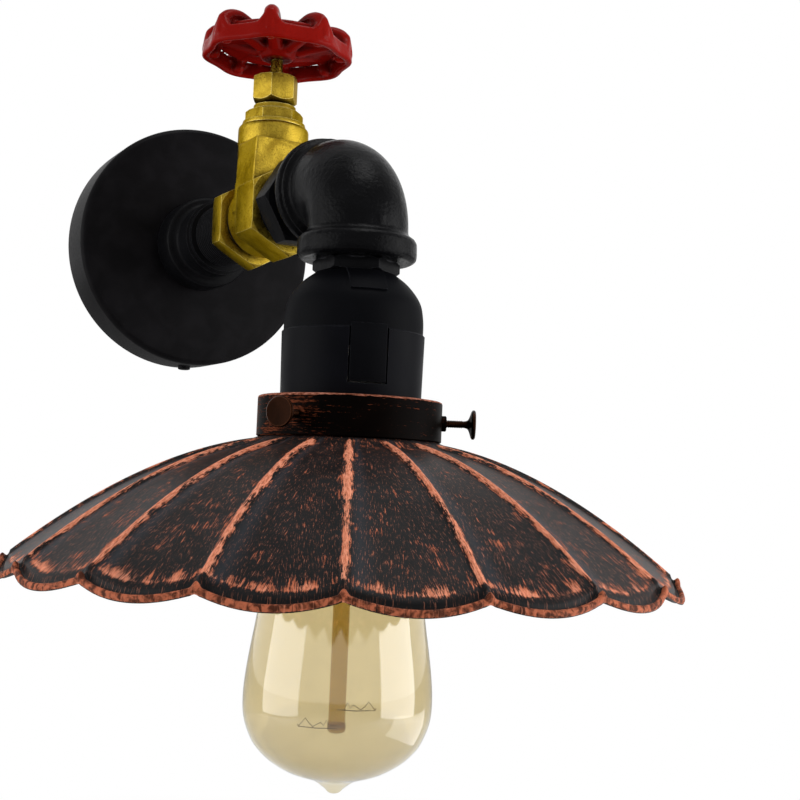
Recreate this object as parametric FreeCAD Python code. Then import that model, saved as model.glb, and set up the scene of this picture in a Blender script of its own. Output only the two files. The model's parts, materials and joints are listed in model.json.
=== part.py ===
import FreeCAD, Part
import math
import os

Vector = FreeCAD.Vector

# Frame: the wall is the plane y = 0, the arm leaves it along -Y at z = 0, and +Z is up.
# All sizes are millimetres. A "distance" is measured from the wall along the arm.
# Angles about an upright axis are counted from the room side (-Y) towards +X.

# Clearances and common stock
thread_gap = 0.05
slip_gap = 0.15
soft_gap = 0.3
sheet = 1.2
edge_break = 0.8
fine_break = 0.3
overlap = 0.5

# Layout of the arm
arm_length = 178.0

# Wall cup and its strap
cup_radius = 52.5
cup_depth = 22.0
cup_edge = 2.5
strap_width = 20.0
strap_thickness = 1.5
ear_length = 14.0
ear_clearance = 1.2
side_screw_distance = 9.5
side_screw_radius = 1.5
side_screw_head_radius = 2.7
side_screw_head_height = 1.6
side_screw_length = 8.0
driver_slot_width = 0.7
slot_spacing = 60.0
slot_width = 4.5
slot_length = 12.0

# Pipe thread shared by the cup nipple, the extension, the valve, the hex nipple and the elbow
pipe_radius = 13.1
pipe_bore = 9.5
pipe_pitch = 1.8
pipe_thread_depth = 1.0
engagement = 10.0
thread_runout = 1.0

# Cup nipple and its lock nut
cup_nipple_length = 20.0
lock_nut_flats = 36.0
lock_nut_thickness = 5.0
lock_washer_radius = 21.5
lock_washer_thickness = 1.0

# Extension piece between the cup and the valve
extension_band_length = 14.0
extension_band_radius = 19.6
extension_collar_radius = 15.0
extension_collar_end = 52.0
extension_shoulder = 3.0
extension_ring_radius = 15.8
extension_ring_width = 2.0
extension_socket_depth = 12.0

# Valve
valve_length = 42.0
stem_setback = 21.5
valve_flats = 31.5
rear_hex_length = 9.0
front_hex_length = 17.0
hex_chamfer = 1.2
waist_length = 3.0
waist_radius = 12.8
barrel_round = 1.5
neck_radius = 13.4
neck_half_width = 15.6
neck_front_setback = 3.0
neck_block_drop = 2.0
collar_radius = 13.3
collar_bottom = 27.0
collar_top = 35.5
bonnet_flange_radius = 12.4
bonnet_flange_height = 1.5
bonnet_flats = 19.6
bonnet_turn = 14.0
bonnet_hex_top = 41.5
bonnet_thread_radius = 10.9
bonnet_thread_length = 9.0
bonnet_seat_width = 1.5
bonnet_neck_radius = 8.2
gland_thread_radius = 6.5
gland_thread_top = 51.5
gasket_height = 0.8
gasket_overhang = 1.0
gland_flats = 15.8
gland_turn = -33.0
gland_bottom = 44.0
gland_top = 55.5
stem_radius = 2.4
stem_foot = 22.0
stem_collar_radius = 4.6
stem_collar_height = 2.5
packing_radius = 5.2
packing_height = 5.0

# Handwheel
wheel_lobes = 8
wheel_lobe_angle = -29.3
wheel_bottom = 62.3
wheel_radius = 29.8
rim_radius = 28.8
rim_thickness = 2.8
rim_height = 6.2
rim_lean = 0.7
arch_width = 5.2
arch_top = 77.0
arch_top_radius = 19.8
arch_thickness = 5.0
arch_bulge = 3.4
arch_rise = 2.4
hub_radius = 8.0
hub_top = 72.5
hub_setback = 0.5
web_radius = 22.0
web_thickness = 2.6
wheel_nut_flats = 8.0
wheel_nut_height = 3.2

# Hex nipple between the valve and the elbow, with its bare thread behind and before the hexagon
hex_nipple_lead = 6.0
hex_nipple_hex_length = 10.0
hex_nipple_tail = 12.5
hex_nipple_flats = 30.4

# Elbow
elbow_reach = 27.5
elbow_radius = 17.0
elbow_bend = 17.4
elbow_bore = 10.5
elbow_band_radius = 19.8
elbow_band_length = 8.5
bead_width = 4.0
bead_groove = 0.9
bead_groove_depth = 1.2
ridge_width = 1.8
outlet_bulge = 0.4
outlet_round = 1.5

# Bush, entry nipple and their nuts
bush_flats = 25.4
bush_turn = 3.6
bush_hex_height = 4.2
bush_thread_length = 9.0
entry_radius = 5.0
entry_bore = 3.6
entry_up = 11.0
entry_down = 7.5
entry_nut_flats = 14.0
entry_nut_height = 3.0

# Lampholder
dome_top_radius = 13.0
dome_shoulder_radius = 20.6
dome_shoulder_drop = 9.2
dome_low_radius = 23.3
dome_upper_bulge = 0.5
dome_lower_bulge = 0.55
dome_height = 20.2
holder_wall = 2.2
spigot_length = 6.0
skirt_radius = 23.9
skirt_foot_radius = 23.5
skirt_length = 22.0
neck_ring_radius = 19.8
neck_ring_length = 11.0
tongue_width = 12.0
tongue_length = 17.5
tongue_angle = -13.8
tongue_root = 1.5
tongue_slit = 0.5
tab_height = 7.5
tab_thickness = 0.8
core_flange_thickness = 3.0
core_roof = 2.7
core_wall = 3.4
core_setback = 1.0
shell_setback = 2.0
ledge_thickness = 1.6
shell_thickness = 0.5
contact_strip = 0.5
terminal_offset = 10.0
clamp_ring_clearance = 2.8
clamp_ring_height = 5.0

# Gallery and thumb screws
gallery_radius = 30.7
gallery_height = 13.4
gallery_wall = 0.9
gallery_edge = 0.6
screw_angles = [62.2, -57.8, 182.2]
thumb_screw_drop = 6.8
thumb_screw_radius = 1.25
thumb_screw_point = 0.5
thumb_screw_standout = 11.1
thumb_head_radius = 4.9
thumb_head_thickness = 1.2
thumb_head_cone = 1.6
boss_radius = 2.6
boss_height = 1.5

# Shade
rib_count = 18
rib_angle = -86.3
shade_neck_clearance = 1.4
shade_neck_height = 10.5
shade_neck_bead = 0.7
shade_bead_height = 1.4
shade_shoulder_width = 4.1
shade_shoulder_height = 2.6
shade_shoulder_lap = 1.5
shade_panel_radius = 106.0
shade_drop_linear = 10.0
shade_drop_square = 33.0
shade_drop_cube = -4.0
shade_sheet = 1.0
rib_half_width = 1.9
rib_height = 1.4
panel_sag = 1.6
scallop_reach = 1.4
gutter_reach = 0.8
gutter_drop = 2.2
lip_reach = 3.4
lip_drop = 3.2

# Bulb
bulb_cap_radius = 13.25
bulb_contact_top = -66.0
bulb_contact_radius = 4.8
bulb_contact_height = 2.0
bulb_insulator_height = 4.0
bulb_cap_length = 20.0
bulb_cap_pitch = 3.6
bulb_cap_thread_depth = 0.8
bulb_cap_sheet = 0.6
bulb_cap_lip = 3.0
bulb_cap_plain = 2.0
glass_wall = 0.8
glass_neck_radius = 12.2
glass_widest_radius = 30.4
glass_widest_height = -167.0
glass_tip_height = -203.0
glass_tip_length = 4.5
glass_tip_radius = 5.5
bulb_stem_radius = 2.7
bulb_stem_end = -183.0
stem_button_swell = 0.6
stem_button_height = 4.0
stem_flare_length = 16.0
hook_height = 2.0
hook_rise = 2.0
filament_height = 4.6
filament_rise = 5.0
filament_radius = 0.2
lead_wire_radius = 0.3
hook_count = 6
hook_reach = 13.0

# Wiring
cable_radius = 3.0
core_radius = 0.9
cable_start = 12.5
cable_standout = 2.0
terminal_block_width = 28.0
terminal_block_height = 14.0
terminal_block_depth = 9.5
terminal_block_top = -7.0
terminal_pitch = 9.0
terminal_bore = 2.0
terminal_tube_setback = 1.0
terminal_screw_radius = 1.3
terminal_screw_recess = 0.6
block_screw_radius = 1.2
block_screw_head_radius = 2.2
block_screw_head_height = 1.3
earth_screw_radius = 1.5
earth_screw_height = 14.0
earth_screw_head_radius = 2.8
earth_screw_head_height = 1.8
earth_tag_radius = 3.0
earth_tag_width = 2.4
earth_tag_reach = 6.0
earth_tag_thickness = 0.8
core_end_depth = 2.5
holder_terminal_width = 6.0
holder_terminal_depth = 5.0
holder_terminal_height = 4.0
holder_screw_radius = 1.4
holder_screw_head_radius = 2.3
holder_screw_head_height = 1.4
holder_screw_length = 1.5
rivet_radius = 1.0
contact_width = 5.0

# Places worked out from the sizes above
elbow_inlet = arm_length - elbow_reach
hex_nipple_end = elbow_inlet + engagement
hex_nipple_hex_end = elbow_inlet - hex_nipple_tail
hex_nipple_hex_start = hex_nipple_hex_end - hex_nipple_hex_length
valve_end = hex_nipple_hex_start - hex_nipple_lead
valve_start = valve_end - valve_length
hex_nipple_start = valve_end - engagement
stem_distance = valve_end - stem_setback
neck_front = valve_end - neck_front_setback
bush_bottom = -elbow_reach - bush_hex_height
dome_bottom = bush_bottom - dome_height
skirt_bottom = dome_bottom - skirt_length
gallery_top = skirt_bottom
gallery_bottom = gallery_top - gallery_height
thumb_screw_height = gallery_top - thumb_screw_drop
thumb_screw_reach = gallery_radius + thumb_screw_standout
shade_neck_radius = gallery_radius - gallery_wall - shade_neck_clearance
shade_shoulder_radius = shade_neck_radius + shade_shoulder_width
clamp_ring_radius = shade_neck_radius - shade_sheet - clamp_ring_clearance
shade_top = gallery_bottom - soft_gap
core_flange_top = dome_bottom - spigot_length - thread_gap
shell_top = core_flange_top - core_flange_thickness - core_roof
neck_ring_bottom = skirt_bottom - neck_ring_length
glass_top = bulb_contact_top - bulb_contact_height - bulb_insulator_height - bulb_cap_length
shell_radius = bulb_cap_radius + slip_gap / 2
core_radius_inside = shell_radius + shell_thickness
core_sleeve_radius = core_radius_inside + core_wall

round_share = 1.0 - math.sqrt(0.5)

arm_axis = (Vector(0, 0, 0), Vector(0, -1, 0), Vector(1, 0, 0))
stem_axis = (Vector(0, -stem_distance, 0), Vector(0, 0, 1), Vector(0, -1, 0))
lamp_axis = (Vector(0, -arm_length, 0), Vector(0, 0, 1), Vector(0, -1, 0))


def place(axis, radius, height, angle=0.0):
    """Point at a radius and height about an axis, with the angle in degrees."""
    foot, along, side = axis
    other = along.cross(side)
    turn = math.radians(angle)
    outward = side * math.cos(turn) + other * math.sin(turn)
    return foot + along * height + outward * radius


def outward(axis, angle):
    """Unit vector that leaves an axis at an angle in degrees."""
    return place(axis, 1.0, 0.0, angle) - place(axis, 0.0, 0.0)


def outline_face(points):
    """Face inside a closed outline; a pair of points in a tuple is an arc's middle and end."""
    edges = []
    current = points[0]
    for item in list(points[1:]) + [points[0]]:
        if isinstance(item, tuple):
            middle, end = item
            edges.append(Part.Arc(current, middle, end).toShape())
        else:
            end = item
            edges.append(Part.makeLine(current, end))
        current = end
    return Part.Face(Part.Wire(edges))


def turned(axis, outline):
    """Solid of revolution from (radius, height) corners; four numbers mark an arc's middle and end."""
    points = []
    for item in outline:
        if len(item) == 4:
            points.append((place(axis, item[0], item[1]), place(axis, item[2], item[3])))
        else:
            points.append(place(axis, item[0], item[1]))
    return outline_face(points).revolve(axis[0], axis[1], 360)


def rod(axis, radius, start, end):
    """Cylinder on an axis between two heights."""
    low, high = min(start, end), max(start, end)
    return Part.makeCylinder(radius, high - low, place(axis, 0, low), axis[1])


def tube(axis, radius, bore, start, end):
    """Cylinder with a bore."""
    return rod(axis, radius, start, end).cut(rod(axis, bore, start, end))


def hexagon(axis, flats, start, end, turn=0.0, chamfer=0.0):
    """Hexagonal prism about an axis, with its corners turned off at both ends."""
    low, high = min(start, end), max(start, end)
    corner = flats / math.sqrt(3)
    points = [place(axis, corner, low, turn + 60 * step) for step in range(6)]
    prism = outline_face(points).extrude(axis[1] * (high - low))
    if chamfer:
        small = corner - chamfer
        slope = chamfer * math.tan(math.radians(30))
        limit = [(0, low), (small, low), (corner, low + slope), (corner, high - slope), (small, high), (0, high)]
        prism = prism.common(turned(axis, limit))
    return prism


def ridges(radius, depth, pitch, start, end):
    """Corners of a row of V ridges, as (radius, height) pairs."""
    count = int(abs(end - start) / pitch)
    step = (end - start) / count
    corners = [(radius - depth, start)]
    for index in range(count):
        corners.append((radius, start + step * (index + 0.5)))
        corners.append((radius - depth, start + step * (index + 1)))
    return corners


def radial_rod(axis, radius, height, angle, start, end):
    """Cylinder that leaves an axis sideways between two radii."""
    way = outward(axis, angle)
    return Part.makeCylinder(radius, end - start, place(axis, start, height, angle), way)


def block(low, high):
    """Box between two opposite corners."""
    low, high = Vector(*low), Vector(*high)
    size = high - low
    return Part.makeBox(size.x, size.y, size.z, low)


def run_of_wire(points, start_way, end_way, radius):
    """Round wire along a smooth curve through a few points."""
    curve = Part.BSplineCurve()
    curve.interpolate(Points=points, InitialTangent=start_way, FinalTangent=end_way)
    path = Part.Wire(curve.toShape())
    section = Part.Wire(Part.Circle(points[0], start_way, radius).toShape())
    return path.makePipeShell([section], True, False)


def fused(shapes):
    """One solid from overlapping shapes."""
    result = shapes[0].multiFuse(shapes[1:])
    return result.removeSplitter()


# Wall cup and strap


def wall_bracket():
    """Strap that is screwed to the wall, with an ear at each end for a side screw."""
    reach = cup_radius - sheet - ear_clearance
    strap = block((-strap_width / 2, -strap_thickness, -reach), (strap_width / 2, 0, reach))
    ears = []
    cuts = []
    for side in (-1, 1):
        low = min(side * reach, side * (reach - strap_thickness))
        high = max(side * reach, side * (reach - strap_thickness))
        ears.append(block((-strap_width / 2, -ear_length, low), (strap_width / 2, 0, high)))
        slot_middle = side * slot_spacing / 2
        half_run = (slot_length - slot_width) / 2
        low_run, high_run = slot_middle - half_run, slot_middle + half_run
        cuts.append(block((-slot_width / 2, -strap_thickness, low_run), (slot_width / 2, 0, high_run)))
        for end in (low_run, high_run):
            cuts.append(Part.makeCylinder(slot_width / 2, strap_thickness, Vector(0, 0, end), Vector(0, -1, 0)))
    cuts.append(side_screw_hole(side_screw_radius + thread_gap))
    for x, z, radius in strap_screw_places():
        cuts.append(Part.makeCylinder(radius + thread_gap, strap_thickness, Vector(x, 0, z), Vector(0, -1, 0)))
    return fused([strap] + ears).cut(cuts)


def strap_screw_places():
    """Small screws in the strap: x, z and radius of the block's screw and of the earth screw."""
    block_middle = terminal_block_top - terminal_block_height / 2
    return [(terminal_pitch / 2, block_middle, block_screw_radius), (0.0, earth_screw_height, earth_screw_radius)]


def side_screw_hole(radius):
    """Straight upright hole through both sides of the cup at the side screws."""
    reach = cup_radius + side_screw_head_height
    return Part.makeCylinder(radius, 2 * reach, Vector(0, -side_screw_distance, -reach), Vector(0, 0, 1))


def wall_plate():
    """Round pressed cup that covers the strap."""
    hole = pipe_radius + slip_gap
    edge, depth = cup_edge, cup_depth
    inner_edge = max(edge - sheet, 0.5)
    bend = math.sqrt(0.5)
    outer_mid = (cup_radius - edge + edge * bend, depth - edge + edge * bend)
    inner_mid = (cup_radius - sheet - inner_edge + inner_edge * bend, depth - sheet - inner_edge + inner_edge * bend)
    outline = [
        (hole, depth - sheet),
        (hole, depth),
        (cup_radius - edge, depth),
        (outer_mid[0], outer_mid[1], cup_radius, depth - edge),
        (cup_radius, 0),
        (cup_radius - sheet, 0),
        (cup_radius - sheet, depth - sheet - inner_edge),
        (inner_mid[0], inner_mid[1], cup_radius - sheet - inner_edge, depth - sheet),
    ]
    return turned(arm_axis, outline).cut(side_screw_hole(side_screw_radius + slip_gap))


def side_screws():
    """Two pan-head screws through the cup's side into the strap's ears."""
    screws = []
    for side in (-1, 1):
        seat = Vector(0, -side_screw_distance, side * cup_radius)
        inward = Vector(0, 0, -side)
        shaft = Part.makeCylinder(side_screw_radius, side_screw_length, seat, inward)
        head = Part.makeCylinder(side_screw_head_radius, side_screw_head_height, seat, inward * -1)
        slot_depth = side_screw_head_height / 2
        slot_top = seat.z + side * side_screw_head_height
        half_slot = driver_slot_width / 2
        slot = block(
            (-side_screw_head_radius, seat.y - half_slot, min(slot_top, slot_top - side * slot_depth)),
            (side_screw_head_radius, seat.y + half_slot, max(slot_top, slot_top - side * slot_depth)),
        )
        screws.append(shaft.fuse(head).cut(slot))
    return Part.makeCompound(screws)


# Terminals and wiring in the cup


def terminal_places():
    """X places of the three ways of the terminal block."""
    return [-terminal_pitch, 0.0, terminal_pitch]


def terminal_screw_heights():
    """Heights of the two screws of each way."""
    quarter = terminal_block_height / 4
    middle = terminal_block_top - terminal_block_height / 2
    return [middle - quarter, middle + quarter]


def terminal_block():
    """Insulating block with three bores for the brass tubes."""
    back = strap_thickness
    front = back + terminal_block_depth
    bottom = terminal_block_top - terminal_block_height
    half = terminal_block_width / 2
    body = block((-half, -front, bottom), (half, -back, terminal_block_top))
    cuts = []
    middle = -(back + terminal_block_depth / 2)
    for x in terminal_places():
        cuts.append(Part.makeCylinder(terminal_bore, terminal_block_height, Vector(x, middle, bottom)))
        for z in terminal_screw_heights():
            cuts.append(Part.makeCylinder(terminal_screw_radius + slip_gap, terminal_block_depth / 2,
                                          Vector(x, middle, z), Vector(0, -1, 0)))
    x, z, radius = strap_screw_places()[0]
    cuts.append(Part.makeCylinder(radius + slip_gap, terminal_block_depth, Vector(x, -back, z), Vector(0, -1, 0)))
    return body.cut(cuts)


def terminal_tubes():
    """Three brass tubes of the terminal block."""
    middle = -(strap_thickness + terminal_block_depth / 2)
    bottom = terminal_block_top - terminal_block_height + terminal_tube_setback
    length = terminal_block_height - 2 * terminal_tube_setback
    tubes = []
    for x in terminal_places():
        outer = Part.makeCylinder(terminal_bore - thread_gap, length, Vector(x, middle, bottom))
        bore = Part.makeCylinder(core_radius + slip_gap, length, Vector(x, middle, bottom))
        tubes.append(outer.cut(bore))
    return Part.makeCompound(tubes)


def terminal_screws():
    """Six screws that hold the cores in the brass tubes."""
    start = strap_thickness + terminal_block_depth / 2 + terminal_bore
    end = strap_thickness + terminal_block_depth - terminal_screw_recess
    screws = []
    for x in terminal_places():
        for z in terminal_screw_heights():
            screws.append(Part.makeCylinder(terminal_screw_radius, end - start, Vector(x, -start, z),
                                            Vector(0, -1, 0)))
    return Part.makeCompound(screws)


def terminal_fixing_screw():
    """Screw that holds the terminal block on the strap."""
    x, z, radius = strap_screw_places()[0]
    front = strap_thickness + terminal_block_depth
    shaft = Part.makeCylinder(radius, front, Vector(x, 0, z), Vector(0, -1, 0))
    head = Part.makeCylinder(block_screw_head_radius, block_screw_head_height, Vector(x, -front, z),
                             Vector(0, -1, 0))
    return shaft.fuse(head)


def earth_tag():
    """Ring tag under the earth screw."""
    x, z, radius = strap_screw_places()[1]
    seat = Vector(x, -strap_thickness, z)
    half = earth_tag_width / 2
    ring = Part.makeCylinder(earth_tag_radius, earth_tag_thickness, seat, Vector(0, -1, 0))
    tail = block((x - half, seat.y - earth_tag_thickness, z - earth_tag_reach), (x + half, seat.y, z))
    hole = Part.makeCylinder(radius + slip_gap, earth_tag_thickness, seat, Vector(0, -1, 0))
    return ring.fuse(tail).cut(hole)


def earth_screw():
    """Screw that holds the earth tag on the strap."""
    x, z, radius = strap_screw_places()[1]
    seat = strap_thickness + earth_tag_thickness
    shaft = Part.makeCylinder(radius, seat, Vector(x, 0, z), Vector(0, -1, 0))
    head = Part.makeCylinder(earth_screw_head_radius, earth_screw_head_height, Vector(x, -seat, z),
                             Vector(0, -1, 0))
    return shaft.fuse(head)


def cup_cores():
    """Three insulated cores from the cable's end to two ways of the block and to the earth tag."""
    spread = cable_radius - core_radius - soft_gap
    out = Vector(0, 1, 0)
    down = Vector(0, 0, -1)
    block_middle = -(strap_thickness + terminal_block_depth / 2)
    runs = []
    for side, x in ((-1, -terminal_pitch), (1, terminal_pitch)):
        start = Vector(side * spread, -cable_start, -core_radius)
        end = Vector(x, block_middle, terminal_block_top - core_end_depth)
        above = Vector(x, block_middle, terminal_block_top + overlap)
        runs.append(run_of_wire([start, above, end], out * 12, down * 6, core_radius))
    start = Vector(0, -cable_start, spread)
    tag_face = -(strap_thickness + earth_tag_thickness)
    end = Vector(0, tag_face - core_radius - 2 * thread_gap, earth_screw_height - earth_tag_reach + overlap)
    runs.append(run_of_wire([start, end], out * 8, Vector(0, 0, 1) * 8, core_radius))
    return Part.makeCompound(runs)


def arm_cable():
    """Sheathed cable along the arm, from the cup to the end of the hex nipple."""
    return rod(arm_axis, cable_radius, cable_start, hex_nipple_end)


def head_cable():
    """Sheathed cable from the hex nipple round the elbow and down into the lampholder."""
    start = Vector(0, -hex_nipple_end, 0)
    bend_start = Vector(0, -(arm_length - elbow_bend), 0)
    bend_end = Vector(0, -arm_length, -elbow_bend)
    middle = Vector(0, -arm_length + elbow_bend * (1 - math.sqrt(0.5)), -elbow_bend * (1 - math.sqrt(0.5)))
    end = Vector(0, -arm_length, holder_cable_end())
    edges = [
        Part.makeLine(start, bend_start),
        Part.Arc(bend_start, middle, bend_end).toShape(),
        Part.makeLine(bend_end, end),
    ]
    section = Part.Wire(Part.Circle(start, Vector(0, -1, 0), cable_radius).toShape())
    return Part.Wire(edges).makePipeShell([section], True, False)


def holder_cable_end():
    """Height where the sheath ends inside the lampholder."""
    return bush_bottom - entry_down - cable_standout


def holder_cores():
    """Two cores from the sheath's end to the holder's terminals."""
    spread = cable_radius - core_radius - soft_gap
    end_height = core_flange_top + holder_terminal_height / 2
    runs = []
    for side in (-1, 1):
        start = Vector(side * spread, -arm_length, holder_cable_end())
        end = Vector(side * (terminal_offset - holder_terminal_width / 2), -arm_length, end_height)
        runs.append(run_of_wire([start, end], Vector(0, 0, -1) * 12, Vector(side, 0, 0) * 6, core_radius))
    return Part.makeCompound(runs)


# Arm


def pipe_thread(start, end):
    """Corners of the common pipe thread between two distances."""
    return ridges(pipe_radius, pipe_thread_depth, pipe_pitch, start, end)


def plate_nipple():
    """Threaded tube that goes through the cup into the extension piece."""
    end = cup_depth + engagement
    start = end - cup_nipple_length
    outline = [(pipe_bore, start)] + pipe_thread(start, end) + [(pipe_bore, end)]
    return turned(arm_axis, outline)


def plate_lock_washer():
    """Washer behind the cup's front."""
    end = cup_depth - sheet
    return tube(arm_axis, lock_washer_radius, pipe_radius + slip_gap, end - lock_washer_thickness, end)


def plate_lock_nut():
    """Nut on the nipple inside the cup."""
    end = cup_depth - sheet - lock_washer_thickness
    start = end - lock_nut_thickness
    nut = hexagon(arm_axis, lock_nut_flats, start, end, 0, hex_chamfer)
    return nut.cut(rod(arm_axis, pipe_radius + thread_gap, start, end))


def extension_piece():
    """Banded socket on the cup that narrows to a threaded tail inside the valve."""
    band_end = cup_depth + extension_band_length
    collar_start = band_end + extension_shoulder
    ring_start = extension_collar_end - 2 * extension_ring_width
    ring_end = ring_start + extension_ring_width
    socket = pipe_radius + thread_gap
    socket_end = cup_depth + extension_socket_depth
    outline = [
        (socket, cup_depth),
        (extension_band_radius - edge_break, cup_depth),
        (extension_band_radius, cup_depth + edge_break),
        (extension_band_radius, band_end - hex_chamfer),
        (extension_band_radius - hex_chamfer * round_share, band_end - hex_chamfer * round_share,
         extension_band_radius - hex_chamfer, band_end),
        (extension_collar_radius + extension_shoulder / 2, band_end),
        (extension_collar_radius, collar_start),
        (extension_collar_radius, ring_start),
        (extension_ring_radius, ring_start + fine_break),
        (extension_ring_radius, ring_end - fine_break),
        (extension_collar_radius - fine_break, ring_end),
        (extension_collar_radius - fine_break, extension_collar_end),
    ]
    outline += pipe_thread(extension_collar_end + overlap, valve_start + engagement)
    outline += [(pipe_bore, valve_start + engagement), (pipe_bore, socket_end), (socket, socket_end)]
    return turned(arm_axis, outline)


def valve_body():
    """Brass body with a hexagon at each end and an upright neck for the bonnet."""
    rear_end = valve_start + rear_hex_length
    barrel_start = rear_end + waist_length
    front_start = valve_end - front_hex_length
    barrel = valve_flats / 2 - fine_break
    rear = hexagon(arm_axis, valve_flats, valve_start, rear_end, 90, hex_chamfer)
    front = hexagon(arm_axis, valve_flats, front_start, valve_end, 90, hex_chamfer)
    spine = turned(arm_axis, [
        (0, rear_end - overlap),
        (waist_radius, rear_end - overlap),
        (waist_radius, barrel_start - edge_break),
        (barrel - barrel_round, barrel_start),
        (barrel, barrel_start + barrel_round),
        (barrel, front_start + overlap),
        (0, front_start + overlap),
    ])
    neck = rod(stem_axis, neck_radius, 0, collar_bottom + overlap)
    neck_block_top = collar_bottom - neck_block_drop
    front_of_neck = block((-neck_half_width, -neck_front, 0), (neck_half_width, -stem_distance, neck_block_top))
    collar = turned(stem_axis, [
        (0, collar_bottom),
        (collar_radius - edge_break, collar_bottom),
        (collar_radius, collar_bottom + edge_break),
        (collar_radius, collar_top - hex_chamfer),
        (collar_radius - hex_chamfer, collar_top),
        (0, collar_top),
    ])
    body = fused([rear, spine, front, neck, front_of_neck, collar])
    bonnet_seat = collar_top - bonnet_thread_length
    cuts = [
        rod(arm_axis, pipe_bore, valve_start, valve_end),
        rod(arm_axis, pipe_radius + thread_gap, valve_start, valve_start + engagement + thread_runout),
        rod(arm_axis, pipe_radius + thread_gap, valve_end - engagement - thread_runout, valve_end),
        rod(stem_axis, bonnet_thread_radius - bonnet_seat_width, 0, bonnet_seat),
        rod(stem_axis, bonnet_thread_radius + thread_gap, bonnet_seat, collar_top),
    ]
    return body.cut(cuts)


def bonnet_gasket():
    """Fibre ring under the bonnet's thread."""
    seat = collar_top - bonnet_thread_length
    bore = bonnet_thread_radius - bonnet_seat_width - gasket_overhang
    return tube(stem_axis, bonnet_thread_radius - thread_gap, bore, seat, seat + gasket_height)


def valve_bonnet():
    """Bonnet with a hexagon, a thread into the body and a neck for the gland nut."""
    flange_top = collar_top + bonnet_flange_height
    foot = collar_top - bonnet_thread_length + gasket_height
    spine = turned(stem_axis, [
        (0, foot),
        (bonnet_thread_radius, foot),
        (bonnet_thread_radius, collar_top),
        (bonnet_flange_radius, collar_top),
        (bonnet_flange_radius - fine_break, flange_top),
        (bonnet_neck_radius + edge_break, flange_top),
        (bonnet_neck_radius, bonnet_hex_top + edge_break),
        (bonnet_neck_radius, gland_bottom - soft_gap),
        (gland_thread_radius, gland_bottom - soft_gap),
        (gland_thread_radius, gland_thread_top),
        (0, gland_thread_top),
    ])
    nut = hexagon(stem_axis, bonnet_flats, flange_top - overlap, bonnet_hex_top, bonnet_turn, hex_chamfer)
    body = fused([spine, nut])
    pocket_top = foot + stem_collar_height + slip_gap
    cuts = [
        rod(stem_axis, stem_radius + thread_gap, foot, gland_thread_top),
        rod(stem_axis, stem_collar_radius + thread_gap, foot, pocket_top),
        rod(stem_axis, packing_radius + thread_gap, gland_thread_top - packing_height, gland_thread_top),
    ]
    return body.cut(cuts)


def gland_packing():
    """Soft packing round the stem, pressed by the gland nut."""
    bottom = gland_thread_top - packing_height
    return tube(stem_axis, packing_radius, stem_radius + thread_gap, bottom, gland_thread_top)


def gland_nut():
    """Nut that presses the packing."""
    nut = hexagon(stem_axis, gland_flats, gland_bottom, gland_top, gland_turn, hex_chamfer)
    inside = gland_thread_radius + thread_gap
    cuts = [
        rod(stem_axis, inside, gland_bottom, gland_thread_top + thread_gap),
        rod(stem_axis, stem_radius + thread_gap, gland_bottom, gland_top),
    ]
    return nut.cut(cuts)


def valve_stem():
    """Stem with a collar under the bonnet and a squared top for the wheel."""
    collar_bottom_height = collar_top - bonnet_thread_length + gasket_height
    collar_top_height = collar_bottom_height + stem_collar_height
    square = stem_radius * math.sqrt(2) - thread_gap
    shank = turned(stem_axis, [
        (0, stem_foot),
        (stem_radius, stem_foot),
        (stem_radius, collar_bottom_height),
        (stem_collar_radius, collar_bottom_height),
        (stem_collar_radius, collar_top_height),
        (stem_radius, collar_top_height),
        (stem_radius, wheel_bottom),
        (0, wheel_bottom),
    ])
    half = square / 2
    middle = stem_distance
    tang = block((-half, -middle - half, wheel_bottom - overlap), (half, -middle + half, hub_top))
    tip = rod(stem_axis, half - thread_gap, hub_top - overlap, hub_top + wheel_nut_height + edge_break)
    return fused([shank, tang, tip])


def handwheel():
    """Cast wheel: hub, web, arched spokes and a ring rim, open between the spokes."""
    rim_inner = rim_radius - rim_thickness
    rim = turned(stem_axis, [
        (rim_inner, wheel_bottom),
        (rim_radius, wheel_bottom),
        (rim_radius - rim_lean, wheel_bottom + rim_height),
        (rim_inner - rim_lean, wheel_bottom + rim_height),
    ])
    hub = rod(stem_axis, hub_radius, wheel_bottom + hub_setback, hub_top)
    web = rod(stem_axis, web_radius, hub_top - web_thickness, hub_top)
    spokes = []
    for index in range(wheel_lobes):
        spokes.append(wheel_spoke(wheel_lobe_angle + index * 360.0 / wheel_lobes))
    wheel = fused([rim, hub, web] + spokes)
    half = (stem_radius * math.sqrt(2)) / 2
    hole = block((-half, -stem_distance - half, 0), (half, -stem_distance + half, arch_top))
    return wheel.cut(hole)


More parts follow.
